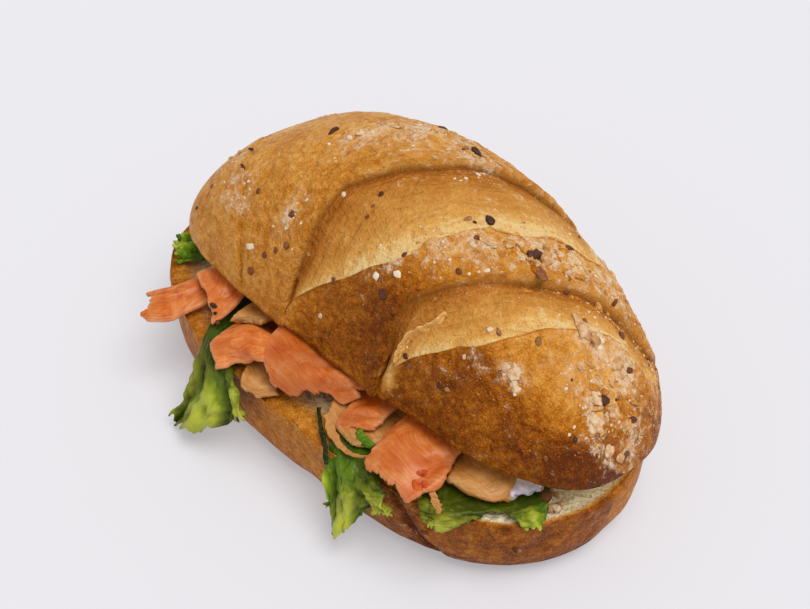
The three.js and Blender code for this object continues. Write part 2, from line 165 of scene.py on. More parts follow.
def smooth(value, low, high):
    """0 below low, 1 above high, an S-curve between."""
    part = np.clip((value - low) / (high - low), 0, 1)
    return part * part * (3 - 2 * part)


def flat_points(first, second):
    """Two coordinate arrays as points of a plane in space, for the noise."""
    first, second = np.broadcast_arrays(first, second)
    return np.stack([first, second, np.zeros(first.shape)], -1)


def waver(first, second, seed, count=1):
    """Noise over two coordinates, with cells one unit wide, in count layers."""
    return layers(flat_points(first, second), 1.0, seed, count)


# %% [markdown]
# ## From a grid of points to a piece
# Every new surface is a rectangular grid of points worked out at once. A grid can close on itself
# along its columns, as a loaf does round its section, and rows that shrink to a point are welded.

# %% Meshes from grids
def grid_faces(rows, columns, close_columns=False):
    """Corner numbers of the quads of a grid, row by row."""
    last = columns if close_columns else columns - 1
    i, j = np.meshgrid(np.arange(rows - 1), np.arange(last), indexing="ij")
    right = (j + 1) % columns
    corners = [i * columns + j, (i + 1) * columns + j, (i + 1) * columns + right, i * columns + right]
    return np.stack(corners, -1).reshape(-1, 4)


WELD, SMALL_WELD = 1e-6, 2e-7


def make_piece(name, points, faces, marks=None, plan=None, weld=WELD):
    """A smooth mesh object from points in millimetres and quads. marks holds one number a point for
    each named attribute, and plan holds a pair a point for the UV map."""
    mesh = bpy.data.meshes.new(name)
    mesh.vertices.add(len(points))
    mesh.vertices.foreach_set("co", (points * MM).astype(np.float32).ravel())
    mesh.loops.add(faces.size)
    mesh.loops.foreach_set("vertex_index", faces.astype(np.int32).ravel())
    mesh.polygons.add(len(faces))
    mesh.polygons.foreach_set("loop_start", np.arange(0, faces.size, faces.shape[1], dtype=np.int32))
    mesh.update(calc_edges=True)
    for mark, values in (marks or {}).items():
        attribute = mesh.attributes.new(mark, "FLOAT", "POINT")
        attribute.data.foreach_set("value", values.astype(np.float32).ravel())
    if plan is not None:
        layer = mesh.uv_layers.new(name="along")
        layer.data.foreach_set("uv", plan[faces.ravel()].astype(np.float32).ravel())
    editable = bmesh.new()
    editable.from_mesh(mesh)
    bmesh.ops.remove_doubles(editable, verts=editable.verts, dist=weld)
    bmesh.ops.dissolve_degenerate(editable, edges=editable.edges, dist=weld)
    editable.to_mesh(mesh)
    editable.free()
    mesh.polygons.foreach_set("use_smooth", np.ones(len(mesh.polygons), bool))
    mesh.validate()
    return show(name, mesh)


def face_out(piece):
    """Turns a closed mesh so that its faces point outwards: its signed volume has to be positive."""
    mesh = piece.data
    mesh.calc_loop_triangles()
    corners = np.zeros(len(mesh.loop_triangles) * 3, np.int32)
    mesh.loop_triangles.foreach_get("vertices", corners)
    place = np.zeros(len(mesh.vertices) * 3, np.float32)
    mesh.vertices.foreach_get("co", place)
    a, b, c = place.reshape(-1, 3)[corners.reshape(-1, 3)].astype(float).transpose(1, 0, 2)
    volume = (np.cross(a, b) * c).sum() / 6
    if volume < 0:
        mesh.flip_normals()
    print(f"{piece.name}: {len(corners) // 3} triangles, {abs(volume) * 1e6:.1f} cm3")
    return piece


def finish_piece(piece, material, slot, *nodes):
    """The closing steps that every piece shares: outward faces, its material and its place."""
    face_out(piece)
    piece.data.materials.append(material)
    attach(piece, "root")
    if nodes:
        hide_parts(*nodes)
    return piece


# %% [markdown]
# ## Wiring materials
# A shader is a graph of nodes. A short helper makes a node, sets its sockets and links the ones that
# are given another node's output, so that a material reads from top to bottom like a recipe.

# %% Node helpers
class Wiring:
    """Adds nodes to one node tree. A value that is a socket is linked, any other value is set."""

    def __init__(self, tree):
        self.tree = tree

    def put(self, node, **sockets):
        """Fills a node's sockets: i0, i1 and so on by number, the others by name with _ for a space."""
        for key, value in sockets.items():
            numbered = key[0] == "i" and key[1:].isdigit()
            socket = node.inputs[int(key[1:]) if numbered else key.replace("_", " ")]
            if isinstance(value, bpy.types.NodeSocket):
                self.tree.links.new(value, socket)
            else:
                socket.default_value = value
        return node

    def node(self, kind, settings=None, **sockets):
        """A new node of a kind, with its own settings and its sockets filled."""
        made = self.tree.nodes.new("ShaderNode" + kind)
        for key, value in (settings or {}).items():
            setattr(made, key, value)
        return self.put(made, **sockets)

    def math(self, operation, first, second, clamp=False):
        """One operation on two values, held to 0 to 1 if clamp is set."""
        settings = {"operation": operation, "use_clamp": clamp}
        return self.node("Math", settings, i0=first, i1=second).outputs[0]

    def times(self, first, second):
        """first x second."""
        return self.math("MULTIPLY", first, second)

    def total(self, *parts):
        """The sum of the parts, each the product of its own values."""
        products = [reduce(self.times, part) for part in parts]
        return reduce(lambda first, second: self.math("ADD", first, second), products)

    def vary(self, value, *noises, clamp=False):
        """value + (noise - 0.5) x amount for each (noise, amount): a noise of 0 to 1 moves it both
        ways."""
        for number, (noise, amount) in enumerate(noises, 1):
            shift = self.times(self.math("SUBTRACT", noise, 0.5), amount)
            value = self.math("ADD", value, shift, clamp and number == len(noises))
        return value

    def mix(self, share, first, second):
        """first x (1 - share) + second x share, for colours."""
        settings = {"data_type": "RGBA", "clamp_factor": True}
        return self.node("Mix", settings, i0=share, i6=first, i7=second).outputs[2]

    def span(self, value, low, high, new_low=0.0, new_high=1.0):
        """new_low below low, new_high above high, an S-curve between."""
        settings = {"interpolation_type": "SMOOTHSTEP", "clamp": True}
        made = self.node("MapRange", settings, i0=value, i1=low, i2=high, i3=new_low, i4=new_high)
        return made.outputs[0]

    def ramp(self, value, *stops):
        """Colours blended along value: each stop is its place and a screen colour, 0 to 255."""
        made = self.node("ValToRGB", i0=value)
        band = made.color_ramp.elements
        for element, (position, *colour) in zip((band[0], band[1]), (stops[0], stops[-1])):
            element.position, element.color = position, linear(*colour)
        for position, *colour in stops[1:-1]:
            band.new(position).color = linear(*colour)
        return made.outputs[0]

    def noise(self, vector, scale, detail=3.0, rough=0.55):
        """Cloudy noise, 0 to 1, with about scale clouds a metre."""
        made = self.node("TexNoise", Vector=vector, Scale=scale, Detail=detail, Roughness=rough)
        return made.outputs["Fac"]

    def mark(self, name):
        """A mask that is painted on the mesh."""
        return self.node("Attribute", {"attribute_name": name}).outputs["Fac"]

    def place(self):
        """The place on the piece, in metres."""
        return self.node("TexCoord").outputs["Object"]

    def along(self):
        """The place on the piece's own plan, in metres."""
        return self.node("UVMap", {"uv_map": "along"}).outputs[0]


def new_group(name, inputs, outputs):
    """An empty node group with named sockets: (name, kind, default) in, (name, kind) out."""
    tree = bpy.data.node_groups.new(name, "ShaderNodeTree")
    for label, kind, value in inputs:
        socket = tree.interface.new_socket(label, in_out="INPUT", socket_type="NodeSocket" + kind)
        if value is not None:
            socket.default_value = value
    for label, kind in outputs:
        tree.interface.new_socket(label, in_out="OUTPUT", socket_type="NodeSocket" + kind)
    return tree, Wiring(tree), tree.nodes.new("NodeGroupInput"), tree.nodes.new("NodeGroupOutput")


def new_material(name, **sockets):
    """A material with one Principled shader whose plain numbers are set on its own sockets."""
    material = bpy.data.materials.new(name)
    material.use_nodes = True
    shader = material.node_tree.nodes["Principled BSDF"]
    for key, value in sockets.items():
        shader.inputs[key.replace("_", " ")].default_value = value
    return material, Wiring(material.node_tree), shader


def dress(wire, shader, group, strength, distance):
    """Colour and roughness straight from a group, and its height through a Bump node."""
    bump = wire.node("Bump", Strength=strength, Distance=distance, Height=group.outputs["Height"])
    wire.put(shader, Base_Color=group.outputs["Color"], Roughness=group.outputs["Roughness"],
             Normal=bump.outputs[0])


# %% Floor material
floor_mesh.materials.append(new_material(
    "floor_card", Base_Color=(0.5, 0.505, 0.55, 1.0), Roughness=0.9, Specular_IOR_Level=0.0,
    Emission_Color=(1.0, 0.985, 1.03, 1.0), Emission_Strength=0.31)[0])

# %% [markdown]
# ## Bread tone
# Crust colour comes partly from the oven: pale gold where the dough tore open late, deep brown on the
# sides that faced the heat. Part of it is painted light: the lid's front side is painted darker as
# shade and its crown paler as light, beyond their baked colour; each bloom is painted darker as shade
# beside its lip and in its creases; a pale painted sheen lies on the crown; and the near right of the
# bottom half's front wall is painted darker as shade. The tone group turns four masks that are painted
# on the mesh - how baked (with the painted shade and light), how torn open, how much crumb, how much
# flour (with the painted sheen) - into colour, roughness and a fine height. The same group serves the
# lid and the bottom half.

# %% Bread group
tree, wire, given, result = new_group(
    "bread_tone",
    [("Bake", "Float", 0.5), ("Bloom", "Float", 0.0), ("Crumb", "Float", 0.0), ("Flour", "Float", 0.0),
     ("Place", "Vector", None), ("Along", "Vector", None)],
    [("Color", "Color"), ("Roughness", "Float"), ("Height", "Float")])
place, bloom, crumb = given.outputs["Place"], given.outputs["Bloom"], given.outputs["Crumb"]
broad = wire.noise(place, 95.0, 3.0)
fine = wire.noise(place, 620.0, 3.0)
grain = wire.noise(place, 2100.0, 2.0)
blister = wire.noise(place, 330.0, 2.0)

tone = wire.vary(given.outputs["Bake"], (broad, 0.36), (fine, 0.5), (blister, -0.5), (grain, 0.7), clamp=True)
crust_colour = wire.ramp(
    tone, (0.0, 250, 206, 130), (0.3, 230, 162, 72), (0.55, 200, 122, 28), (0.8, 152, 80, 2),
    (1.0, 104, 46, 0))

stretch = wire.node("Mapping", Vector=given.outputs["Along"], Scale=(420.0, 90.0, 1.0))
strings = wire.noise(stretch.outputs[0], 1.0, 4.0, 0.6)
torn = wire.vary(bloom, (strings, 0.6), (broad, 0.9), (fine, 0.5), (grain, 0.4))
# Across a bloom the colour runs from dark brown at the lip, painted shade under the overhanging lip, to pale
# gold at the far edge.
torn_colour_and_lip_shade = wire.ramp(
    torn, (0.0, 176, 106, 34), (0.25, 200, 130, 52), (0.5, 214, 148, 66), (0.8, 234, 174, 92),
    (1.0, 246, 208, 140))
# Dark creases in the torn crust, strongest near the lip, are painted shade.
crease_shade = wire.times(wire.span(strings, 0.56, 0.68), wire.span(bloom, 0.75, 0.3))
torn_colour_and_lip_shade = wire.mix(wire.times(crease_shade, 0.55), torn_colour_and_lip_shade, linear(150, 86, 26))
skin = wire.mix(wire.span(bloom, 0.0, 0.06), crust_colour, torn_colour_and_lip_shade)

pores = wire.node("TexVoronoi", Vector=place, Scale=780.0).outputs["Distance"]
crumb_tone = wire.total((pores, 0.7), (fine, 0.45))
crumb_colour = wire.ramp(
    crumb_tone, (0.05, 240, 200, 130), (0.25, 254, 228, 166), (0.6, 255, 244, 206))
skin = wire.mix(crumb, skin, crumb_colour)

specks = wire.span(wire.noise(place, 1150.0, 1.0), 0.73, 0.8)
skin = wire.mix(wire.times(specks, 0.55), skin, linear(104, 56, 22))
# The flour mask holds real flour and, on the lid's crown, a painted sheen; both turn the skin the same pale
# colour.
flour_and_sheen = wire.vary(given.outputs["Flour"], (grain, 1.3), (fine, 1.9), (broad, 0.9), (blister, 1.2))
flour_and_sheen = wire.span(flour_and_sheen, 0.3, 1.1)
skin = wire.mix(wire.times(flour_and_sheen, 0.88), skin, linear(242, 216, 184))

rough = wire.total((wire.span(bloom, 0.0, 0.1, 0.42, 0.62),), (crumb, 0.35), (flour_and_sheen, 0.35))
height = wire.total((grain, 0.5), (fine, 1.1), (wire.span(bloom, 0.0, 0.1, 1.0, 0.4), blister, 1.6),
                    (crumb, pores, 0.8), (wire.span(bloom, 0.0, 0.1), strings, 1.3))
wire.put(result, Color=skin, Roughness=wire.vary(rough, (fine, 0.25), clamp=True), Height=height)
bread_tone = tree


# %% Bread materials
def bread_material(name):
    """Crust and crumb from the bread group, reading the masks that are painted on the mesh."""
    material, wire, shader = new_material(name, Specular_IOR_Level=0.1)
    masks = {mark: wire.mark(mark.lower()) for mark in ("Bake", "Bloom", "Crumb", "Flour")}
    group = wire.node("Group", {"node_tree": bread_tone}, Place=wire.place(), Along=wire.along(), **masks)
    dress(wire, shader, group, 1.0, 0.0011)
    return material


lid_bread = bread_material("crust_top")
base_bread = bread_material("crust_bottom")

# %% [markdown]
# ## The bottom half
# The roll stood on the oven floor, so its underside is flat and its wall bulges out and up to the
# cut. A profile carried round a blunt oval makes it: flat bottom, rounded foot, upright wall, a thin
# crust edge and the cut face, all in one closed skin. Noise gives the wall its soft dents, a few
# creases run down it, and on the near right the crust has torn where the dough was sealed.

# %% Bottom half
CUT_SLOPE = 0.03
HALF_LENGTH = (base_high[0] - base_low[0]) / 2
HALF_WIDTH = 47.0
BOW = -2.0
BLUNT = 2.6
RIM = float(base_high[2])
FOOT = np.array([[0, 8.0], [0.08, 4.4], [0.2, 2.0], [0.42, 0.5], [0.7, 0.0], [0.95, 0.0], [1.0, 0.6]])
AROUND = 460
UNDER_ROWS, WALL_ROWS, TOP_ROWS = 10, 84, 84
UNDER_BAKE = 0.85
SEAM_X, SEAM_LEAN = 42, 0.62
# x at the rim, how much it leans for each mm down, depth
CREASES = ((4, 0.35, 0.8), (-24, -0.1, 0.6), (-61, 0.1, 0.6), (22, 0.2, 0.5))
CRUST_ROLL, ROLL_LOST = 17, 15.5


def outline(angle, inset):
    """The blunt oval seen from above: cosine and sine raised to 2/2.6, pulled in by inset, with its
    middle pushed a little to the front."""
    u = np.sign(np.cos(angle)) * np.abs(np.cos(angle)) ** (2 / BLUNT)
    v = np.sign(np.sin(angle)) * np.abs(np.sin(angle)) ** (2 / BLUNT)
    return (HALF_LENGTH - inset) * u, (HALF_WIDTH - inset) * v + BOW * (1 - u * u)


def cut_height(y):
    """Height of the bottom half's cut face: it falls gently to the back."""
    return RIM - CUT_SLOPE * (y + HALF_WIDTH)


def bottom_half():
    """Rings from the centre of the underside, up the wall and in over the cut face."""
    angle = 2 * np.pi * np.arange(AROUND) / AROUND
    share = np.linspace(0, 1, WALL_ROWS)
    inset = np.interp(share, FOOT[:, 0], FOOT[:, 1])
    inset = np.convolve(np.pad(inset, 3, mode="edge"), np.ones(7) / 7, mode="valid")
    rows, crumb, bake = [], [], []
    for k in np.linspace(0, 1, UNDER_ROWS, endpoint=False):
        x, y = outline(angle, inset[0])
        rows.append(np.stack([x * k, y * k, np.zeros(AROUND)], -1))
        crumb.append(np.zeros(AROUND))
        bake.append(np.full(AROUND, UNDER_BAKE))
    x, y = outline(angle[None, :], inset[:, None])
    z = share[:, None] * cut_height(y)
    points = np.stack([x, y, z], -1)
    out = np.stack([np.cos(angle), np.sin(angle), np.zeros(AROUND)], -1)[None]
    dents = 0.9 * lattice(points, 21, 3) + 0.45 * lattice(points, 8, 4) + 0.16 * layers(points, 3, 5)
    front = y < 0
    tear = x - SEAM_X - (RIM - z) * SEAM_LEAN - 1.4 * lattice(points, 5, 9)
    seam = front * np.exp(-((tear + 1.2) / 1.6) ** 2)
    flap = 0.9 * smooth(tear, -0.6, 0.4) * np.exp(-np.maximum(tear, 0) / 9)
    dents = dents + front * (flap - 1.5 * seam)
    for crease_x, lean, deep in CREASES:
        path = x - crease_x - lean * (RIM - z)
        dents = dents - front * deep * np.exp(-(path / 1.3) ** 2) * smooth(z, 9, 24)
    fade = smooth(share, 0.0, 0.12)[:, None] * (1 - 0.55 * smooth(share, 0.93, 1.0)[:, None])
    rows.extend(points + out * (dents * fade)[..., None])
    crumb.extend(0.0 * z)
    dark = 0.6 + 0.12 * smooth(z, 14, 2) + 0.08 * lattice(points, 14, 12) + 0.5 * seam
    # The near right end of the front wall is painted darker as shade.
    dark = dark + 0.2 * smooth(x, 10, 60) * front
    bake.extend(dark)
    edge = rows[-1]
    for k in 1 - np.linspace(0, 1, TOP_ROWS + 1)[1:] ** 1.6:
        ring = edge * np.array([k, k, 0.0])
        depth_in = np.hypot(edge[:, 0], edge[:, 1]) * (1 - k)
        ring[:, 2] = cut_height(ring[:, 1])
        pit = layers(ring, 3.2, 21) * 0.55 + lattice(ring, 9, 22) * 0.5
        ring[:, 2] += (pit - 0.35) * smooth(depth_in, 0.4, 3.0) * (k > 0)
        rows.append(ring)
        rolled = CRUST_ROLL - ROLL_LOST * smooth(edge[:, 0] + 2 * lattice(edge, 9, 24), 40, 56)
        inner = smooth(depth_in, 0.3 * rolled, 1.2 + rolled)
        ring[:, 2] -= 0.09 * rolled * np.exp(-(depth_in / 2.2) ** 2)
        crumb.append(inner * (0.92 + 0.08 * lattice(ring, 4, 23)))
        bake.append(0.5 + 0.14 * np.exp(-depth_in / 1.5) + 0.1 * lattice(ring, 8, 25))
    points = np.array(rows)
    marks = {"crumb": np.clip(np.array(crumb), 0, 1), "bake": np.clip(np.array(bake), 0, 1)}
    marks["flour"] = np.clip(layers(points, 9, 31) * 0.5 - 0.28, 0, 1) * (1 - marks["crumb"])
    marks["bloom"] = np.zeros(points.shape[:2])
    plan = np.stack([points[..., 0], points[..., 2]], -1) * MM
    piece = make_piece("bottom_half", points.reshape(-1, 3), grid_faces(*points.shape[:2], True),
                       marks, plan.reshape(-1, 2))
    return finish_piece(piece, base_bread, "crust_base", "bun_base")


bottom_half()

# %% [markdown]
# ## The lid
# A long loaf is nearly a stretched dome. Its width and its height each follow a blunt oval along the
# roll, and its section is a rounded arch, so one point of crust is a place along the roll and an
# angle round it. The baker slashed it three times. Each slash opened into a smooth torn bloom, with
# a lip of crust standing over it on the left. The grid is warped so that two of its lines run close
# together along each lip, which keeps that step crisp.

# %% Lid dimensions
LID_HALF = 84.6
LID_WIDTH = 41.8
LID_HEIGHT = 53.6
BLUNT_ENDS = (3.58, 2.77)
DOME_ENDS = (1.9, 1.7)
SECTION = 2.3
TAPER_WIDTH, TAPER_HEIGHT = -0.06, -0.07
LID_BOW = 4.2
OPEN, TURN = np.radians(11.64), np.radians(-1.76)
HINGE = np.array([4.3, 46.4, 26.3])
SLASH_NAMES = ("x", "bend", "slant", "width", "opens", "narrows", "depth", "lip")
SLASHES = [dict(zip(SLASH_NAMES, values)) for values in (
    (-40, 2, -0.4, 30, 60, 0, 0.8, 0.4), (-21.5, 58, 0.55, 33, 54, 0, 2.4, 1.6),
    (18, 37, 0.51, 22, 44, 0.4, 2.6, 1.8))]
LIP_LENGTH = 9
EDGE = 0.02
LEAST_BLOOM = 0.06
ARC = 0.8
FIRST_LIP, LAST_LIP, LAST_BLOOM = -0.86 * LID_HALF, 0.8 * LID_HALF, 0.86 * LID_HALF
NARROWS = (40, 95)
CLOSES = (112, 158)


def lip_at(slash, degrees):
    """Straight up from the front rim to the angle bend, then slanting by slant mm a degree."""
    wander = 0.9 * lattice(flat_points(degrees, 50.0 * slash["x"]), 13, 39) * smooth(degrees, 0, 20)
    slant = slash["slant"] * np.maximum(0, degrees - slash["bend"])
    return np.clip(slash["x"] + slant + wander, FIRST_LIP, LAST_LIP)


def bloom_width(slash, degrees):
    """Nothing at the rim, full width from the angle opens on, less by narrows over the crown, and
    closed again at the back."""
    width = slash["width"] * smooth(degrees, 0, slash["opens"]) * (1 - smooth(degrees, *CLOSES))
    uneven = 1 + 0.05 * lattice(flat_points(degrees, 30.0 * slash["x"]), 9, 38)
    return width * (1 - slash["narrows"] * smooth(degrees, *NARROWS)) * uneven


# %% Lid relief
def slash_relief(x, degrees):
    """Height above the plain loaf, and how far across a bloom each point lies (0 on plain crust):
    a lip that sinks away to its left, and a bloom that starts deep and rises to the right."""
    fade = 1 - smooth(degrees, *CLOSES)
    height = np.zeros(np.broadcast(x, degrees).shape)
    across = np.zeros(height.shape)
    beyond = np.full(height.shape, 99.0)
    for number, slash in enumerate(SLASHES):
        wobble = 0.55 * lattice(flat_points(degrees * ARC, 40.0 * number), 7, 40 + number)
        step = x - lip_at(slash, degrees)
        width = np.maximum(bloom_width(slash, degrees), 1e-6)
        shown = 0.0 if number == 0 else smooth(width, 1.0, 6.0)
        left = step < 0
        inside = (step >= 0) & (step < width - EDGE)
        part = np.where(inside, step / width, 0)
        lip = slash["lip"] * fade * np.exp(step / LIP_LENGTH) * (1 + 0.35 * wobble)
        height += np.where(left, lip, 0)
        height -= np.where(inside, slash["depth"] * fade * (1 - part) ** 1.4, 0)
        across = np.where(inside, np.clip(part, LEAST_BLOOM, 1) * shown, across)
        beyond = np.where(step >= 0, step, beyond)
    return height, across, beyond


FLOUR = (
    (-31, 37, 3, 9, 1.0), (-31, 88, 5, 14, 0.9), (-24, 101, 8, 12, 1.0), (-10, 106, 9, 9, 0.8),
    (0, 99, 6, 7, 1.0), (8, 44, 4, 6, 0.6), (16, 58, 6, 8, 0.8), (24, 71, 7, 8, 0.9), (32, 86, 7, 8, 1.0),
    (42, 99, 7, 9, 1.0), (52, 114, 8, 12, 0.9), (53, 46, 4, 5, 1.0), (43, 38, 4, 4, 0.7),
    (59, 90, 6, 6, 1.1), (66, 70, 6, 8, 0.7), (73, 80, 5, 7, 1.1), (75, 68, 3.4, 5, 1.2),
    (82, 96, 4, 16, 0.8), (70, 102, 8, 12, 0.9), (80, 58, 5, 8, 0.7), (-54, 33, 5, 6, 0.8),
    (-57, 43, 5, 6, 0.7), (-68, 55, 5, 8, 0.6), (-40, 132, 10, 10, 0.7), (0, 138, 12, 10, 0.7),
    (40, 136, 12, 12, 0.8), (70, 132, 8, 12, 0.8), (-62, 118, 8, 14, 0.6),
)


def flour_at(x, degrees):
    """Flour clings in patches: each is a soft oval (x, angle, half sizes, strength)."""
    total = np.zeros(np.broadcast(x, degrees).shape)
    for centre_x, centre, reach_x, reach, strength in FLOUR:
        distance = ((x - centre_x) / reach_x) ** 2 + ((degrees - centre) / reach) ** 2
        total = np.maximum(total, strength * np.exp(-0.5 * distance))
    return total


def loaf(x, degrees, rise):
    """A point of the lid before it is tipped: width and height are blunt ovals along the roll, the
    section is an arch, and rise is added to both so that the crust stands out by that much."""
    u = np.clip(x / LID_HALF, -1, 1)
    plan, dome = (np.maximum(0, 1 - np.abs(u) ** power) ** (1 / power)
                  for power in (np.where(u < 0, *BLUNT_ENDS), np.where(u < 0, *DOME_ENDS)))
    rise = rise * (1 - np.abs(u) ** 8)
    width = LID_WIDTH * plan * (1 + TAPER_WIDTH * u) + rise
    height = LID_HEIGHT * dome * (1 + TAPER_HEIGHT * u) + rise
    angle = np.radians(degrees)
    swing = np.sign(np.cos(angle)) * np.abs(np.cos(angle)) ** (2 / SECTION)
    lift = np.maximum(0, np.sin(angle)) ** (2 / SECTION)
    return np.stack(np.broadcast_arrays(x, -width * swing + LID_BOW * (1 - u * u), height * lift), -1)


def tip_lid(points):
    """Opens the lid about its back rim, turns it a little and sets it on the hinge."""
    x, y, z = points[..., 0], points[..., 1] - LID_WIDTH, points[..., 2]
    y, z = y * np.cos(OPEN) + z * np.sin(OPEN), z * np.cos(OPEN) - y * np.sin(OPEN)
    y = y + LID_WIDTH
    x, y = x * np.cos(TURN) - y * np.sin(TURN), x * np.sin(TURN) + y * np.cos(TURN)
    return np.stack([x + HINGE[0], y + HINGE[1] - LID_WIDTH, z + HINGE[2]], -1)


PLAIN_BAKE, SIDE_BAKE_AND_SHADE = 0.42, 0.34
CROWN_SHEEN = 0.3


def crust(x, degrees):
    """The finished crust at places along and round the loaf, with its masks."""
    height, across, beyond = slash_relief(x, degrees)
    bare = loaf(x, degrees, 0 * height)
    open_crust = np.clip(across / LEAST_BLOOM, 0, 1)
    slope = flat_points(beyond, degrees * ARC)
    strings = layers(slope * np.array([1.0, 0.1, 1.0]), 1.5, 51, 3)
    ridges = layers(slope * np.array([1.0, 0.16, 1.0]), 4.2, 55, 2)
    plain = 0.75 * lattice(bare, 17, 61) + 0.34 * lattice(bare, 6, 62) + 0.26 * layers(bare, 2.4, 63)
    flour = flour_at(x, degrees)
    # A pale painted sheen on the crown, where the top faces the light, goes into the flour mask.
    crown_sheen = CROWN_SHEEN * smooth(degrees, 50, 84) * smooth(x, -44, -24)
    clumps = np.maximum(0, layers(bare, 2.6, 64)) * flour * 1.3
    end_rough = smooth(x, 60, 80) * 0.8 * layers(bare, 3.4, 65)
    end_rough = end_rough + (flour + crown_sheen) * 0.9 * layers(bare, 1.9, 68)
    torn = 0.24 * strings + 0.55 * ridges + 0.25 * lattice(bare, 7, 67)
    height = height + open_crust * torn + (1 - open_crust) * (plain + clumps + end_rough)
    height = height - 0.5 * np.exp(-((degrees - 1.5) / 2.0) ** 2)
    steps = [x - lip_at(slash, degrees) for slash in SLASHES[1:]]
    lips = sum(np.exp(-np.abs(step + 3) / 4) * (step < 0) for step in steps)
    # The front side below about 60 degrees is darker and the crown paler: partly the crust's baked colour,
    # partly painted shade on the side turned from the light and painted light on the crown.
    bake = PLAIN_BAKE + SIDE_BAKE_AND_SHADE * smooth(degrees, 60, 32) * (1 - smooth(x, -12, -22))
    bake = bake - 0.06 * smooth(degrees, 60, 90) + 0.05 * smooth(x, 18, 24) * smooth(degrees, 60, 20)
    bake = bake - 0.04 * smooth(x, -36, -44) + 0.1 * lips
    bake = bake + 0.1 * lattice(bare, 11, 66) + 0.12 * smooth(degrees, 115, 170) + 0.36 * smooth(x, 68, 82)
    scar = np.exp(-((steps[1] - 3.2) / 3.4) ** 2 - ((degrees - 9) / 9) ** 2)
    scar = scar + 0.45 * layers(bare, 2.4, 69)
    scar = 0.8 * np.clip(2.2 * scar - 1.1, 0, 1) * (steps[1] > 0)
    marks = {"bake": np.clip(bake, 0, 1), "bloom": np.maximum(np.clip(across, 0, 1), scar),
             "flour": np.maximum(flour * 0.86, crown_sheen) * (1 - 0.6 * open_crust), "crumb": 0 * height}
    return tip_lid(loaf(x, degrees, height)), marks, slope[..., :2] * MM


# %% Lid mesh
COLUMNS = (58, 62, 66, 44, 46, 74)
LIP_GAP = 0.12
LID_ROWS, CUT_ROWS = 214, 32


def lid_lines(degrees):
    """The x of every column at each angle: even steps between the slash lines, with a close pair of
    lines at each lip, and finer steps towards the tips."""
    first, second, third = (lip_at(slash, degrees) for slash in SLASHES)
    second_end = np.minimum(second + np.maximum(2, bloom_width(SLASHES[1], degrees)), third - 3)
    third_end = np.minimum(third + np.maximum(2, bloom_width(SLASHES[2], degrees)), LAST_BLOOM)
    edges = [-LID_HALF + 0 * first, first, second, second_end, third, third_end, LID_HALF + 0 * first]
    columns = []
    for part, count in enumerate(COLUMNS):
        step = np.arange(count) / count
        if part == 0:
            step = 1 - np.sin((1 - step) * np.pi / 2)
        if part == len(COLUMNS) - 1:
            step = np.sin(step * np.pi / 2)
        x = edges[part][:, None] + (edges[part + 1] - edges[part])[:, None] * step
        if part in (1, 2, 4):
            columns.append(x[:, :1] - LIP_GAP)
            x = np.concatenate([x[:, :1] + LIP_GAP, x[:, 1:]], 1)
        columns.append(x)
    columns.append(edges[-1][:, None])
    return np.concatenate(columns, 1)


def top_half():
    """The crust from the front rim over the crown to the back rim, closed by the cut face."""
    degrees = np.linspace(0, 180, LID_ROWS)
    x = lid_lines(degrees)
    points, marks, plan = crust(x, degrees[:, None])
    steps = np.linspace(0, 1, CUT_ROWS)[1:-1]
    back, front = loaf(x[-1], 180.0, 0 * x[-1]), loaf(x[0], 0.0, 0 * x[0])
    cut = back[None] + (front - back)[None] * steps[:, None, None]
    from_rim = np.minimum(steps, 1 - steps)[:, None] * np.abs(back - front)[None, :, 1]
    pits = layers(cut, 3.0, 71) * 0.7 + 0.3
    cut[..., 2] += pits * smooth(from_rim, 0.5, 4)
    points = np.concatenate([points, tip_lid(cut)])
    inner = smooth(from_rim, 0.3, 3.0)
    shape = cut.shape[:2]
    plain = np.zeros(shape)
    extra = {"bake": plain + 0.6, "bloom": plain, "flour": plain, "crumb": inner}
    marks = {key: np.concatenate([marks[key], extra[key]]) for key in marks}
    plan = np.concatenate([plan, cut[..., :2] * MM])
    turned = points.transpose(1, 0, 2)
    piece = make_piece(
        "top_half", turned.reshape(-1, 3), grid_faces(*turned.shape[:2], True),
        {key: value.T for key, value in marks.items()}, plan.transpose(1, 0, 2).reshape(-1, 2))
    return finish_piece(piece, lid_bread, "crust_lid", "bun_lid")


top_half()

# %% [markdown]
# ## Sheets
# Slices and leaves are thin sheets. Each hangs on a small net of points in the roll: a row of the net
# is a rib from deep inside the sandwich to the outer edge, and a smooth curve runs through every row
# and column. The sheet is a front and a back skin on either side of that surface, meeting in a
# rounded edge. Its border is pulled in by noise, so it looks cut, torn or frilled.

# %% Smooth nets
def blend(count, share):
    """Matrix that turns count evenly spaced values into a Catmull-Rom curve at each share (0 to 1).
    The ends are carried on in a straight line."""
    place = np.clip(share, 0, 1) * (count - 1)
    first = np.minimum(place.astype(int), count - 2)
    f = place - first
    parts = np.stack([-f + 2 * f**2 - f**3, 2 - 5 * f**2 + 3 * f**3,
                      f + 4 * f**2 - 3 * f**3, f**3 - f**2], -1)
    spread = np.zeros((share.size, count + 2))
    rows = np.arange(share.size)
    for k in range(4):
        spread[rows, first.ravel() + k] += 0.5 * parts.reshape(-1, 4)[:, k]
    spread[:, 1] += 2 * spread[:, 0]
    spread[:, 2] -= spread[:, 0]
    spread[:, -2] += 2 * spread[:, -1]
    spread[:, -3] -= spread[:, -1]
    return spread[:, 1:-1].reshape(*share.shape, count)


def net_surface(net, s, t):
    """Points of the net at s (across the ribs) and t (inside to outer edge): sums of both blends."""
    net = np.array(net, float)
    return np.einsum("...a,...b,abc->...c", blend(net.shape[0], s), blend(net.shape[1], t), net)


def normals_of(points):
    """Upward unit normals of a grid of points from its two directions."""
    across = np.gradient(points, axis=0)
    along = np.gradient(points, axis=1)
    normal = np.cross(along, across)
    normal /= np.maximum(np.linalg.norm(normal, axis=-1, keepdims=True), 1e-9)
    return normal * np.where(normal[..., 2:3].mean() < 0, -1, 1)


EDGE_REACH = 1.2


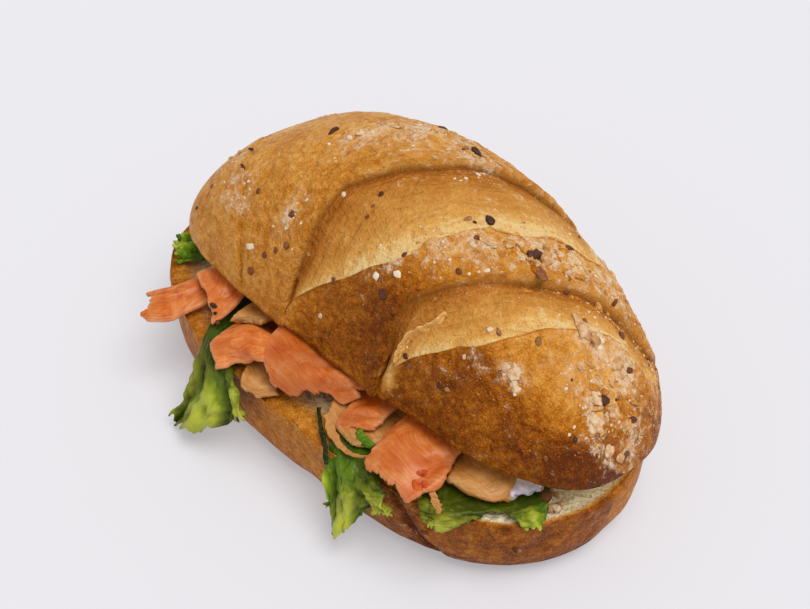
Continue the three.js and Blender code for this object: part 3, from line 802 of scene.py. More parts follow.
def sheet(name, net, size, thick, border, relief, marks=None, grain=0.0):
    """A closed thin sheet. border(s, t) gives how far each edge is pulled in, as shares (left,
    right, outer). relief(s, t, flat) gives millimetres along the normal. marks(s, t, flat, rim)
    gives the masks. The half thickness rises from the edge as a quarter circle."""
    even = [np.linspace(0, 1, count) for count in size]
    s0, t0 = np.meshgrid(*[0.75 * e + 0.125 * (1 - np.cos(np.pi * e)) for e in even], indexing="ij")
    left, right, outer = border(s0, t0)
    s = left + s0 * (1 - left - right)
    t = t0 * (1 - outer)
    flat = net_surface(net, s, t)
    wide = np.linalg.norm(np.diff(flat, axis=0), axis=-1).sum(0).mean()
    long = np.linalg.norm(np.diff(flat, axis=1), axis=-1).sum(1).mean()
    lifted = flat + normals_of(flat) * relief(s, t, flat)[..., None]
    normal = normals_of(lifted)
    rim = np.minimum(np.minimum(s0, 1 - s0) * wide, np.minimum(t0, 1 - t0) * long)
    bulge = np.clip(rim / (0.7 * thick), 0, 1)
    half = thick / 2 * np.sqrt(1 - (1 - bulge) ** 2)
    front = lifted + normal * half[..., None]
    back = lifted - normal * half[..., None]
    faces = grid_faces(*size)
    count = size[0] * size[1]
    turn = np.array([[np.cos(grain), -np.sin(grain)], [np.sin(grain), np.cos(grain)]])
    plan = np.stack([s * wide, t * long], -1).reshape(-1, 2) @ turn * MM
    painted = marks(s, t, flat, rim) if marks else {}
    painted["edge"] = np.exp(-rim / EDGE_REACH)
    values = {key: np.tile(value.ravel(), 2) for key, value in painted.items()}
    return make_piece(
        name, np.concatenate([front.reshape(-1, 3), back.reshape(-1, 3)]),
        np.concatenate([faces, faces[:, ::-1] + count]), values, np.tile(plan, (2, 1)))


# %% [markdown]
# ## Fish
# Cold smoked salmon tears along its muscle. Fine parallel fibres run one way, paler lines of fat
# cross them in shallow waves, the thin edges are pale and the surface is wet. A group turns the
# sheet's own plan into colour, gloss and height, and each slice lays its grain at its own angle.
# Slices that lie in shade under the lid are painted a darker, deeper orange as shade.

# %% Fish group and material
tree, wire, given, result = new_group(
    "fish_tone",
    [("Along", "Vector", None), ("Edge", "Float", 0.0), ("Deep", "Float", 0.0), ("Pale", "Float", 0.0)],
    [("Color", "Color"), ("Roughness", "Float"), ("Height", "Float")])
along = given.outputs["Along"]
bend = wire.node("TexNoise", Vector=along, Scale=90.0, Detail=1.0).outputs["Color"]
bent = wire.node("VectorMath", {"operation": "MULTIPLY_ADD"}, i0=bend, i1=(0.006, 0.006, 0.0), i2=along)
bent = bent.outputs[0]
stretch = wire.node("Mapping", Vector=bent, Scale=(130.0, 1500.0, 1.0))
fibres = wire.noise(stretch.outputs[0], 1.0, 3.0, 0.6)
clouds = wire.noise(bent, 160.0, 2.0)
bands = wire.node("TexWave", {"wave_type": "BANDS", "bands_direction": "X"}, Vector=bent, Scale=55.0,
                  Distortion=3.5, Detail=2.0, Detail_Scale=1.4).outputs["Fac"]
fat = wire.times(wire.span(bands, 0.86, 0.98), wire.span(clouds, 0.42, 0.62))
tone = wire.total((fibres, 0.5), (clouds, 0.65))
flesh = wire.ramp(
    tone, (0.3, 166, 62, 4), (0.46, 204, 96, 26), (0.6, 220, 122, 50), (0.82, 240, 166, 106))
flesh = wire.mix(wire.times(fat, 0.12), flesh, linear(248, 196, 150))
flesh = wire.mix(wire.times(given.outputs["Edge"], 0.35), flesh, linear(246, 190, 142))
lean = wire.ramp(
    tone, (0.3, 150, 88, 30), (0.52, 192, 130, 64), (0.7, 216, 160, 98), (0.9, 236, 204, 156))
# Painted shade: slices that lie in shade under the lid are mixed towards a darker, deeper orange.
flesh = wire.mix(given.outputs["Deep"], flesh, linear(150, 66, 14))
flesh = wire.mix(given.outputs["Pale"], flesh, lean)
wire.put(result, Color=flesh, Roughness=wire.span(fibres, 0.3, 0.7, 0.26, 0.46),
         Height=wire.total((fibres,), (fat, 0.4)))
fish_tone = tree


def fish_material(name, pale, radius):
    """Wet flesh that lets a little light through."""
    material, wire, shader = new_material(
        name, Subsurface_Weight=0.25, Subsurface_Scale=0.0015, Subsurface_Radius=radius,
        Coat_Weight=0.16, Coat_Roughness=0.22, Specular_IOR_Level=0.3)
    group = wire.node("Group", {"node_tree": fish_tone}, Along=wire.along(), Edge=wire.mark("edge"),
                      Deep=wire.mark("deep"), Pale=pale)
    dress(wire, shader, group, 0.6, 0.00022)
    return material


salmon = fish_material("smoked_salmon", 0.0, (1.0, 0.35, 0.2))
pale_flesh = fish_material("pale_slice", 1.0, (1.0, 0.6, 0.4))

# %% Slices of salmon and of the pale filling
# name: slot, how much painted shade darkens it, thickness, grain, wrinkle, how ragged the edges are, net of
# ribs
SLICES = {
    "salmon_front": ("salmon", 0.2, 2.2, 0.5, 0.9, 0.16, [
        [[30, 0, 31.2], [29, -20, 34.2], [30.4, -40, 35], [31.2, -46.4, 33.4], [36.4, -50.4, 30.4]],
        [[36, 2, 31.4], [36, -16, 35.5], [33.6, -33.3, 37], [38, -42, 35], [43.8, -51, 29.4]],
        [[45, 2, 31.4], [45, -14, 35], [43, -31.2, 36.8], [46.6, -38, 34], [51, -46.6, 29.4]],
        [[53, 0, 31], [53, -12, 33.8], [51, -25.8, 35.2], [52, -31.6, 33.6], [53.4, -39, 31]]]),
    "salmon_long_left": ("salmon", 0.0, 2.2, -0.25, 0.7, 0.1, [
        [[-33, -8, 30.4], [-36, -26, 31], [-35.3, -42.5, 33.6], [-35.1, -47.5, 32], [-28.1, -51.5, 29.8]],
        [[-28, -6, 29.4], [-29, -27, 29.6], [-28.7, -37.6, 37.6], [-26.7, -42.9, 36], [-22.9, -46.7, 32.4]],
        [[-20, -6, 29.6], [-19, -27, 30.4], [-21.3, -36.4, 39.0], [-20.2, -41, 38], [-19, -44.4, 35]],
        [[-9, -6, 31.4], [-8, -24, 34.4], [-9.6, -34.6, 38.8], [-12.6, -39.6, 38], [-13.9, -42.6, 35.4]],
        [[0, -8, 33.4], [1, -22, 37.2], [-4.6, -31.8, 39], [-5.2, -36.4, 38], [-6.2, -40.6, 35.4]]]),
    "salmon_long_right": ("salmon", 0.3, 2.2, 0.35, 0.8, 0.1, [
        [[-22, -12, 33], [-21, -30, 39.4], [-17.2, -41.6, 38.2], [-5, -47, 31.2]],
        [[-3, -8, 33], [-3, -26, 39.6], [-4.6, -38.4, 38.8], [4.8, -42.4, 31.2]],
        [[10, -6, 33], [10, -24, 38.4], [5, -33.8, 38.8], [11, -37, 32.4]],
        [[21, -6, 33.2], [21, -22, 37], [14.6, -31.4, 38.9], [16.6, -31.8, 37.6]]]),
    "salmon_middle": ("salmon", 0.2, 1.9, 0.2, 0.6, 0.14, [
        [[6, -2, 30.2], [6, -20, 32], [13.6, -34.2, 34], [14.4, -41.4, 32.2], [17, -43.6, 30.8]],
        [[16, 0, 30.2], [17, -18, 32.6], [19.4, -31.6, 35], [19.8, -36, 34.2], [20.8, -39.5, 31.8]],
        [[25, 0, 30.2], [25, -16, 33.2], [26, -31, 35.8], [26.6, -33.2, 35.4], [25.9, -36.6, 34]]]),
    "salmon_left_fold": ("salmon", 0.0, 2.2, 1.2, 0.7, 0.08, [
        [[-55, 0, 33.2], [-58, -12, 34.6], [-57.4, -26.4, 36.5], [-59.1, -31.7, 35.5]],
        [[-48, -2, 33.4], [-50, -14, 35.2], [-45.4, -29.6, 36.6], [-49.1, -36.7, 35.2]],
        [[-41, -6, 34.4], [-43, -18, 35.8], [-38.6, -33, 35.8], [-41.1, -41, 31.6]]]),
    "salmon_left_tip": ("salmon", 0.16, 2.0, 1.45, 0.5, 0.07, [
        [[-46, 4, 29.6], [-54, -12, 31], [-61, -33, 32], [-63.4, -39.6, 31.8], [-68.4, -46, 29.8]],
        [[-42, 2, 29.6], [-51, -15, 31], [-57.4, -35.4, 31.6], [-59.8, -43, 31.2], [-66.6, -49.4, 28.8]],
        [[-36, -1, 29.6], [-46, -20, 30.8], [-51.4, -40, 30.4], [-54.4, -47.8, 29.2], [-63.2, -53, 27]]]),
    "pale_slice_right": ("pale_slice", 0.0, 2.5, 0.5, 0.35, 0.06, [
        [[41, 4, 28.6], [43, -12, 30.2], [50.6, -31, 31.4], [51.6, -33.4, 31.2]],
        [[50, 4, 28.6], [52, -12, 30.4], [59, -28, 32.8], [60.2, -33.4, 31.6]],
        [[60, 2, 28.6], [61, -10, 30.4], [64.6, -24.6, 32.6], [68, -29.8, 30.9]],
        [[66, 0, 28.6], [67, -8, 30], [67.6, -22.8, 31.6], [70, -25.8, 30.8]]]),
    "pale_slice_middle": ("pale_slice", 0.0, 1.8, 0.3, 0.3, 0.08, [
        [[0, 2, 28], [1, -16, 29.4], [6.6, -34.6, 32], [12, -43, 31.2]],
        [[10, 4, 28], [12, -16, 29.2], [20.9, -40.4, 31], [22.7, -42.2, 30.9]],
        [[20, 4, 28], [21, -14, 29.3], [25.8, -36.4, 31.2], [28.8, -39, 30.9]],
        [[30, 4, 28], [31, -12, 29.4], [30.4, -32, 31.3], [33.4, -35.6, 31.1]]]),
    "pale_slice_left": ("pale_slice", 0.0, 1.8, 0.4, 0.3, 0.08, [
        [[-39, 2, 31.8], [-38, -14, 32.8], [-36.8, -33.2, 35.6], [-36.4, -38.4, 34.2]],
        [[-31, 2, 31.8], [-31, -14, 33], [-30.4, -32, 37.2], [-31.4, -35.6, 36.8]],
        [[-24, 0, 32.2], [-24, -14, 33.8], [-25.4, -31, 38.6], [-25.6, -33.2, 38.4]]]),
    "pale_slice_lobe": ("pale_slice", 0.0, 1.8, 0.4, 0.3, 0.08, [
        [[-29, 0, 27.9], [-27, -24, 28.7], [-22, -44.6, 30], [-17.4, -51, 28.6]],
        [[-21, 0, 27.9], [-19, -24, 28.7], [-15.6, -44, 30.2], [-12.4, -50, 28.7]],
        [[-12, 0, 27.9], [-11, -22, 28.9], [-10, -41, 30.4], [-6.4, -44.6, 29.2]]]),
}


SIDE_RAGGED = 0.4
SLICE_GRID = (104, 110)


def slice_piece(name, number, slot, deep, thick, grain, wrinkle, ragged, net):
    """A slice: its outer edge is torn in big bites and small teeth, its sides less so. The relief is
    a few folds along the grain and fine ridges of muscle."""
    def border(s, t):
        """Big bites and small teeth from noise, in shares of the length and width."""
        bites = np.clip(waver(s * 5, number * 11.0, 81) * 1.1 + 0.4, 0, 1.4)
        teeth = waver(s * 26, number * 7.0, 82, 3) * 0.5 + 0.5
        left, right = (SIDE_RAGGED * ragged * (waver(t * 14, number * 5.0 + k, 83, 3) * 0.5 + 0.5)
                       for k in (0, 40))
        return left * t, right * t, ragged * (0.7 * bites + 0.5 * teeth * bites)

    def relief(s, t, flat):
        """Wide folds and fine ridges of noise, laid along the grain, fading out inside the roll."""
        run = s * np.cos(grain) - t * np.sin(grain)
        over = s * np.sin(grain) + t * np.cos(grain)
        folds = waver(run * 2.4, over * 6 + number, 84) * 1.5
        ridges = waver(run * 4, over * 26 + number, 85, 2)
        return (wrinkle * folds + 0.09 * ridges) * smooth(t, 0.3, 0.7)

    def marks(s, t, flat, rim):
        """How much painted shade darkens the flesh, in clouds."""
        return {"deep": deep * (1 + 0.8 * waver(s * 3, t * 4 + number, 86))}

    piece = sheet(name + "_slice", net, SLICE_GRID, thick, border, relief, marks, grain)
    return finish_piece(piece, salmon if slot == "salmon" else pale_flesh, slot, name)


for number, (name, (slot, *rest)) in enumerate(SLICES.items()):
    slice_piece(name, number, slot, *rest)

# %% [markdown]
# ## Leaves
# Frilly lettuce grows more edge than its middle can carry, so the edge buckles: a few wide waves near
# the rib of the leaf, and waves on those waves at the rim. The rim is notched. The leaf is pale and
# veined near the rib and deep green towards the frill, and thin enough to glow a little. The hollows
# of its folds are painted a darker green as shade.

# %% Leaf group and material
tree, wire, given, result = new_group(
    "leaf_tone",
    [("Along", "Vector", None), ("Outer", "Float", 0.5), ("Dark", "Float", 0.0), ("Fold", "Float", 0.0)],
    [("Color", "Color"), ("Roughness", "Float"), ("Height", "Float")])
along = given.outputs["Along"]
cells = wire.node("TexVoronoi", {"feature": "DISTANCE_TO_EDGE"}, Vector=along, Scale=210.0)
veins = wire.span(cells.outputs["Distance"], 0.0, 0.09, 1.0, 0.0)
clouds = wire.noise(along, 120.0, 3.0)
# Points deep in a fold get a darker green: painted shade.
tone = wire.total((0.62,), (clouds, 0.5), (given.outputs["Outer"], -0.5), (given.outputs["Fold"], 0.32))
green = wire.ramp(tone, (0.1, 196, 206, 76), (0.35, 138, 170, 18), (0.65, 86, 126, 2), (1.0, 38, 68, 0))
deep = wire.ramp(tone, (0.12, 170, 174, 56), (0.36, 118, 122, 20), (0.62, 72, 82, 2), (1.0, 26, 38, 0))
green = wire.mix(given.outputs["Dark"], green, deep)
green = wire.mix(wire.times(veins, 0.05), green, linear(190, 200, 110))
wire.put(result, Color=green, Roughness=wire.span(clouds, 0.3, 0.7, 0.3, 0.48),
         Height=wire.total((clouds, 0.8), (veins, -0.25)))
leaf_tone = tree

leaf, wire, shader = new_material(
    "lettuce_leaf", Subsurface_Weight=0.2, Subsurface_Scale=0.001, Subsurface_Radius=(0.5, 1.0, 0.2),
    Coat_Weight=0.05, Coat_Roughness=0.25, Specular_IOR_Level=0.2)
group = wire.node("Group", {"node_tree": leaf_tone}, Along=wire.along(), Outer=wire.mark("outer"),
                  Dark=wire.mark("dark"), Fold=wire.mark("fold"))
dress(wire, shader, group, 0.5, 0.0005)

# %% Leaves
# name: wave height, waves, how deep the notches are, darkness left and right, how far the middle of
# the rim is drawn in, net of ribs
LEAVES = {
    "lettuce_left_front": (1.5, 2.1, 0.05, 0.9, 0.75, 0.0, [
        [[-52, -8, 27.7], [-49, -28, 28.2], [-42.6, -43, 29], [-40.4, -52, 17], [-43, -62.4, 4.2]],
        [[-44, -6, 27.7], [-42, -28, 28.2], [-38.6, -43.8, 29], [-32, -54, 18], [-35.6, -64.6, 0.8]],
        [[-36, -6, 27.7], [-34, -28, 28.2], [-31.4, -45, 29], [-22.6, -53, 22.4], [-19, -57, 15.4]],
        [[-29, -8, 27.7], [-28, -28, 28.2], [-25.2, -45.6, 29], [-17.4, -51, 27], [-9, -54.6, 21.6]]]),
    "lettuce_centre": (1.7, 2.2, 0.04, 0.3, 0.9, 0.0, [
        [[6, -8, 27.7], [8, -26, 28.2], [15, -44, 28.8], [19.4, -51.2, 19.4], [23.6, -55, 12.8]],
        [[14, -6, 27.7], [16, -26, 28.2], [22, -45, 29], [26.8, -53, 19], [30.4, -59, 4.6]],
        [[24, -6, 27.7], [25, -26, 28.2], [29.2, -45.4, 29], [34, -50.6, 24], [37.6, -52, 18.4]],
        [[33, -8, 27.7], [33, -26, 28.2], [38, -45, 29], [43, -48.6, 28], [47.6, -49, 25.4]]]),
    "lettuce_right": (1.1, 3.8, 0.09, 1.9, 0.2, 0.34, [
        [[44, -10, 27.7], [45, -24, 28.1], [48, -40, 28.8], [50, -45.6, 28.2], [52, -47, 25.4]],
        [[54, -8, 27.6], [55, -20, 28], [56, -37.4, 28.9], [59.2, -43, 28.6], [60.2, -45, 25.6]],
        [[63, -8, 27.6], [64, -16, 27.9], [66, -29.6, 28.9], [69, -33.6, 29.6], [71, -36, 28.4]],
        [[69, -10, 27.6], [70.6, -14, 27.9], [73.6, -22.6, 29.2], [77, -26.4, 29.6], [80, -28.4, 26]],
        [[71, -8, 27.6], [73, -11, 28], [76.6, -17, 29.6], [80, -19.6, 29.8], [83.6, -21.6, 28.4]]]),
    "lettuce_left_end": (1.2, 1.8, 0.06, 0.0, 0.0, 0.0, [
        [[-52, 4, 27.5], [-66, -4, 27.9], [-78, -18.6, 31.2], [-82, -20.6, 30.6]],
        [[-52, -2, 27.6], [-65, -10, 28], [-74.4, -22.4, 31.2], [-78.4, -25.4, 29.4]],
        [[-52, -8, 27.7], [-63, -17, 28.2], [-69.6, -26.8, 30], [-74, -29.6, 26.8]]]),
}


GAP_AT, GAP_WIDTH = 0.54, 0.15
LEAF_GRID = (190, 150)
LEAF_THICK = 0.7


def leaf_piece(name, number, wave, waves, notch, dark_left, dark_right, drawn_in, net):
    """A leaf: relief = wave x edge x sin(waves) + half as much at 2.3 times the rate nearer the rim,
    broken up with noise. The rim is notched by noise at two sizes."""
    def border(s, t):
        """Lobes and teeth from noise, and a bell-shaped gap in the middle of the rim."""
        lobes = waver(s * 9, number * 13.0, 91) * 0.5 + 0.5
        teeth = np.abs(waver(s * 34, number * 3.0, 92))
        side = 0.05 * (waver(t * 9, number * 7.0, 93) + 1) * t
        middle = drawn_in * np.exp(-((s - GAP_AT) / GAP_WIDTH) ** 2)
        return side, side[::-1], (notch * (1.1 * lobes + 0.9 * teeth) + middle) * smooth(t, 0.3, 1)

    def relief(s, t, flat):
        """Wide waves, a frill on them towards the rim, and crumples."""
        phase = 2 * np.pi * waves * (s + 0.06 * waver(s * 5, t * 3 + number, 94))
        broad = np.sin(phase + 2.2 * t) * smooth(t, 0.45, 1.0)
        frill = np.sin(3.1 * phase + 4 * t + 1.3 * number) * smooth(t, 0.7, 1.0)
        crumple = waver(s * 9, t * 12 + 20 * number, 95, 3)
        return wave * (broad + 0.4 * frill + 1.3 * crumple * smooth(t, 0.4, 0.7))

    def marks(s, t, flat, rim):
        """How near the rim each point is, how dark it is, and painted shade by how deep in a fold it lies."""
        height = relief(s, t, flat) / wave
        dark = dark_left + (dark_right - dark_left) * s + 0.35 * waver(s * 4, t * 5 + number, 96)
        return {"outer": smooth(t, 0.35, 0.9) - 0.35 * smooth(t, 0.93, 1.0),
                "dark": np.clip(dark, 0, 1), "fold": np.clip(-height * 0.9, -0.8, 1.2)}

    piece = sheet(name + "_frill", net, LEAF_GRID, LEAF_THICK, border, relief, marks)
    return finish_piece(piece, leaf, "lettuce", name)


for number, (name, rest) in enumerate(LEAVES.items()):
    leaf_piece(name, number, *rest)

# %% [markdown]
# ## Cream
# A dab of soft white cream squeezes out at the near right, pressed into a few folds. Its greyed
# lavender tone is painted shade.

# %% Cream
cream, wire, shader = new_material(
    "cream", Roughness=0.3, Subsurface_Weight=0.3, Subsurface_Scale=0.002, Coat_Weight=0.2)
# The greyed, lavender tones are painted shade on the white cream.
wire.put(shader, Base_Color=wire.ramp(
    wire.noise(wire.place(), 400.0), (0.35, 204, 190, 206), (0.65, 236, 228, 238)))

CREAM = [
    [[62, -10, 29.6], [65.4, -20, 31.4], [69, -26.6, 31.2]],
    [[66, -6, 29.6], [68.6, -17, 32], [71, -22.8, 31.4]],
    [[70, -2, 29.4], [72, -13, 31.6], [74, -17.6, 31]],
]
dab = sheet("cream_folds", CREAM, (60, 80), 3.0,
            lambda s, t: (0.04 * t, 0.04 * t, 0.06 * np.abs(waver(s * 7, 0.0, 97))),
            lambda s, t, flat: 1.2 * waver(s * 9, t * 5, 98) * smooth(t, 0.3, 0.8))
finish_piece(dab, cream, "cream", "cream_dab")

# %% [markdown]
# ## Seeds, flakes and flour
# Flax seeds, dark seeds and pale oat flakes went into the dough and onto it, and the flour on top
# baked into crumbs, lumps and blistered scraps of crust. Each kind is one joined mesh of small closed
# shapes: a ball that is squeezed, pointed at one end and dented by noise, then laid on the crust.

# %% Scattered shapes
def on_lid(x, degrees):
    """Places on the crust with their outward normals, from small steps along and round it."""
    place = crust(x, degrees)[0]
    along = crust(x + 0.6, degrees)[0] - crust(x - 0.6, degrees)[0]
    round_it = crust(x, degrees + 0.8)[0] - crust(x, degrees - 0.8)[0]
    normal = np.cross(along, round_it)
    return place, normal / np.linalg.norm(normal, axis=-1, keepdims=True)


def scatter(name, material, slot, place, normal, sizes, tones, seed, point=0.25, dent=0.12, rings=7,
            sides=9, more=None):
    """One joined mesh of balls: at latitude a the radius is sin(a) x (1 - point x cos(a)), scaled to
    sizes (length, width, height), turned at random about the normal and dented by noise. more holds
    further masks, each varied at random from ball to ball."""
    chance = np.random.default_rng(seed)
    count = len(place)
    normal = np.broadcast_to(normal, place.shape)
    latitude, longitude = np.meshgrid(
        np.linspace(0, np.pi, rings), 2 * np.pi * np.arange(sides) / sides, indexing="ij")
    ring = np.sin(latitude) * (1 - point * np.cos(latitude))
    ball = np.stack([np.cos(latitude), ring * np.cos(longitude), ring * np.sin(longitude)], -1)
    ball = ball.reshape(1, -1, 3)
    dents = lattice(ball * 1.7 + 31.0 * np.arange(count)[:, None, None], 1.0, seed)
    shape = ball * (1 + dent * dents)[..., None] * np.asarray(sizes)[:, None] / 2
    turn = chance.uniform(0, 2 * np.pi, count)
    away = np.where(np.abs(normal[:, 2:3]) > 0.9, [[1.0, 0, 0]], [[0, 0, 1.0]])
    side = np.cross(normal, away)
    side /= np.linalg.norm(side, axis=-1, keepdims=True)
    other = np.cross(normal, side)
    first = side * np.cos(turn)[:, None] + other * np.sin(turn)[:, None]
    first = first + normal * chance.uniform(-0.25, 0.25, (count, 1))
    second = np.cross(normal, first)
    axes = np.stack([first, second, normal], 1)
    points = place[:, None] + np.einsum("nvi,nij->nvj", shape, axes)
    faces = grid_faces(rings, sides, True)
    faces = (faces[None] + (np.arange(count) * ball.shape[1])[:, None, None]).reshape(-1, 4)
    marks = {"tone": np.repeat(tones, ball.shape[1])}
    for key, value in (more or {}).items():
        marks[key] = np.repeat(value * chance.uniform(0.5, 1.5, count), ball.shape[1])
    piece = make_piece(name, points.reshape(-1, 3), faces, marks, weld=SMALL_WELD)
    return finish_piece(piece, material, slot)


TRIES = 40


def pick(chance, count, density, box):
    """Random places on the lid, kept with the chance that density gives, and how they face. box is
    the least and greatest x, then the least and greatest angle."""
    x = chance.uniform(box[0], box[1], TRIES * count)
    degrees = chance.uniform(box[2], box[3], TRIES * count)
    kept = np.flatnonzero(chance.uniform(0, 1, x.size) < density(x, degrees))[:count]
    return on_lid(x[kept], degrees[kept])


def sizes_of(count, least, more, power, width, height):
    """Lengths least + more x chance to the power, with width and height as shares of the length."""
    return (least + more * chance.uniform(0, 1, (count, 1)) ** power) * np.array([1.0, width, height])


# %% Seed and flour materials
seed_material, wire, shader = new_material("seeds", Roughness=0.5, Specular_IOR_Level=0.3)
tone = wire.vary(wire.mark("tone"), (wire.noise(wire.place(), 1500.0), 0.35), clamp=True)
wire.put(shader, Base_Color=wire.ramp(
    tone, (0.0, 34, 20, 14), (0.25, 78, 40, 20), (0.5, 134, 74, 34), (0.75, 196, 158, 104),
    (1.0, 240, 226, 202)))

flour_material, wire, shader = new_material("baked_flour", Roughness=0.9, Specular_IOR_Level=0.1)
mottle = wire.total((wire.noise(wire.place(), 700.0), 0.8), (wire.mark("tone"), 0.4))
wire.put(shader, Base_Color=wire.ramp(
    mottle, (0.3, 176, 116, 60), (0.5, 206, 160, 112), (0.65, 226, 196, 162), (0.9, 242, 226, 206)))

# %% Seeds that can be told apart: x, angle round the lid, length, width, height, tone
SEEDS = np.array([
    (6, 35, 2.6, 2.2, 0.9, 1.0), (12, 41, 2.6, 2.0, 0.8, 0.97), (-40, 18, 3.2, 2.0, 0.8, 0.95),
    (11, 32, 3.4, 2.6, 1.4, 0.2), (20, 83, 3.8, 2.6, 1.6, 0.08), (35, 88, 6.0, 4.0, 2.4, 0.16),
    (41, 84, 4.8, 3.2, 1.8, 0.4), (-30, 37, 2.8, 2.0, 1.2, 0.3), (-27, 26, 2.8, 2.2, 1.2, 0.4),
    (-37, 10, 2.6, 2.0, 1.0, 0.35), (73, 80, 3.6, 3.0, 1.8, 0.12), (-42, 80, 4.2, 1.8, 1.0, 0.1),
    (-8, 51, 1.6, 1.2, 0.7, 0.3), (-7, 24, 2.2, 1.4, 0.8, 0.3), (-8, 10, 2.2, 1.6, 0.9, 0.85),
    (38, 19, 2.0, 1.4, 0.9, 0.15), (27, 17, 2.6, 2.2, 0.8, 0.5), (50, 19, 1.4, 1.2, 0.6, 0.4),
    (44, 54, 2.4, 1.4, 0.8, 0.45), (42, 52, 2.0, 1.4, 0.7, 0.9), (79, 95, 3.4, 2.2, 1.2, 0.2),
    (53, 66, 2.6, 1.8, 0.8, 0.55), (43, 29, 1.8, 1.4, 0.7, 0.35), (22, 73, 2.0, 1.6, 0.9, 0.3),
    (37, 105, 3.2, 2.2, 1.2, 0.25), (55, 111, 2.6, 1.8, 1.0, 0.3), (-9, 56, 1.4, 1.0, 0.5, 0.4),
    (-69, 36, 1.6, 1.2, 0.6, 0.4), (-60, 50, 2.2, 1.2, 0.8, 0.15), (-24, 115, 3.0, 2.0, 1.0, 0.2),
    (-64, 62, 2.0, 1.2, 0.8, 0.1), (-30, 22, 2.0, 1.6, 0.9, 0.35), (62, 110, 3.0, 2.0, 1.2, 0.3),
    (70, 104, 2.4, 1.8, 1.0, 0.25), (16, 76, 2.6, 1.4, 0.8, 0.6), (-3, 103, 4.2, 2.4, 1.2, 0.06),
    (-6, 100, 2.4, 1.6, 1.0, 0.45), (46, 92, 2.6, 1.8, 1.0, 0.3), (83, 84, 2.4, 2.0, 1.2, 0.3)])
RAISED = 0.12
chance = np.random.default_rng(5)
place, normal = on_lid(SEEDS[:, 0], SEEDS[:, 1])
scatter("large_seeds", seed_material, None, place + normal * SEEDS[:, 4:5] * RAISED, normal, SEEDS[:, 2:5],
        SEEDS[:, 5] + 0.1 * (SEEDS[:, 5] < 0.5), 11, dent=0.42, rings=10, sides=14)

place, normal = pick(chance, 70, lambda x, degrees: 0.12 + 0.7 * flour_at(x, degrees), (-78, 82, 8, 165))
size = chance.uniform(0.9, 2.4, (len(place), 1)) * np.array([1.0, 0.75, 0.45])
scatter("small_seeds", seed_material, None, place, normal, size,
        chance.choice([0.2, 0.36, 0.5, 0.6, 0.75, 0.95], len(place)), 12)

# %% Baked flour: fine crumbs, specks, a few big torn lumps of dough, and blisters of crust
place, normal = pick(chance, 1700, lambda x, degrees: flour_at(x, degrees) ** 1.5, (-80, 84, 5, 165))
size = sizes_of(len(place), 0.3, 1.1, 3, 0.8, 0.5)
scatter("flour_crumbs", flour_material, None, place, normal, size, chance.uniform(0, 1, len(place)), 13,
        point=0.0, dent=0.35, rings=5, sides=6)

place, normal = pick(
    chance, 260, lambda x, degrees: smooth(x, 20, 40) * 0.6 * smooth(degrees, 5, 60) + 0.06, (-70, 80, 6, 90))
size = sizes_of(len(place), 0.22, 0.35, 2, 0.9, 0.5)
scatter("flour_specks", flour_material, None, place, normal, size, np.full(len(place), 0.1), 14,
        point=0.0, dent=0.3, rings=5, sides=6)

# x, angle round the lid, length, width, height, tone
LUMPS = np.array([
    (57, 88, 7.5, 4.0, 1.8, 0.6), (61, 90, 5.0, 3.6, 2.2, 0.3), (32, 88, 8.0, 4.0, 1.8, 0.7),
    (38, 90, 6.0, 3.6, 2.0, 0.4), (29, 82, 4.0, 2.6, 1.2, 0.6), (75, 68, 6.5, 5.0, 1.6, 1.0),
    (71, 76, 5.0, 3.6, 1.4, 0.9), (76, 84, 5.0, 3.4, 1.8, 0.5), (79, 90, 4.6, 3.0, 1.4, 0.4),
    (83, 74, 4.0, 3.0, 1.2, 0.5), (54, 47, 4.4, 3.0, 0.8, 0.9), (56, 42, 3.6, 2.6, 0.8, 1.0),
    (64, 78, 3.0, 2.4, 1.0, 0.6), (68, 96, 4.6, 3.0, 1.4, 0.5), (44, 98, 4.4, 2.6, 1.2, 0.6),
    (-32, 84, 6.0, 2.4, 0.8, 0.8), (-29, 93, 5.0, 2.2, 0.8, 0.7), (26, 76, 4.0, 2.4, 0.8, 0.6),
    (81, 66, 4.4, 3.0, 1.2, 0.8), (-30, 33, 4.0, 1.8, 0.7, 0.7)])
place, normal = on_lid(LUMPS[:, 0], LUMPS[:, 1])
scatter("dough_lumps", flour_material, None, place, normal, LUMPS[:, 2:5], LUMPS[:, 5] * 0.5, 15,
        point=0.1, dent=0.55, rings=18, sides=24)


def blister_density(x, degrees):
    """Blisters crowd along a line that climbs the ridge of the third slash, and round one spot near
    the right tip: each is a bell curve."""
    ridge = np.exp(-((x - 26 - 0.75 * (degrees - 74)) / 6) ** 2) * smooth(degrees, 70, 80)
    return ridge + 0.7 * np.exp(-((x - 76) / 7) ** 2 - ((degrees - 80) / 16) ** 2)


place, normal = pick(chance, 150, blister_density, (20, 84, 56, 112))
size = sizes_of(len(place), 0.9, 3.2, 2, 0.62, 0.34)
scatter("crust_blisters", lid_bread, "crust_lid", place, normal, size, np.zeros(len(place)), 16, point=0.1,
        dent=0.5, rings=9, sides=12, more={"bake": 0.42, "flour": 0.3})


# %% [markdown]
# ## Torn edges and ribbons
# Where the third slash meets the rim a thin flake of crust has torn and stands up, and pale crumb
# shows. Among the fillings a soft membrane hangs from the fish, a pale tail of flesh drops over the
# leaf, and a scrap of leaf and a dark stem come out of the lettuce. All are narrow sheets along a
# bent path.

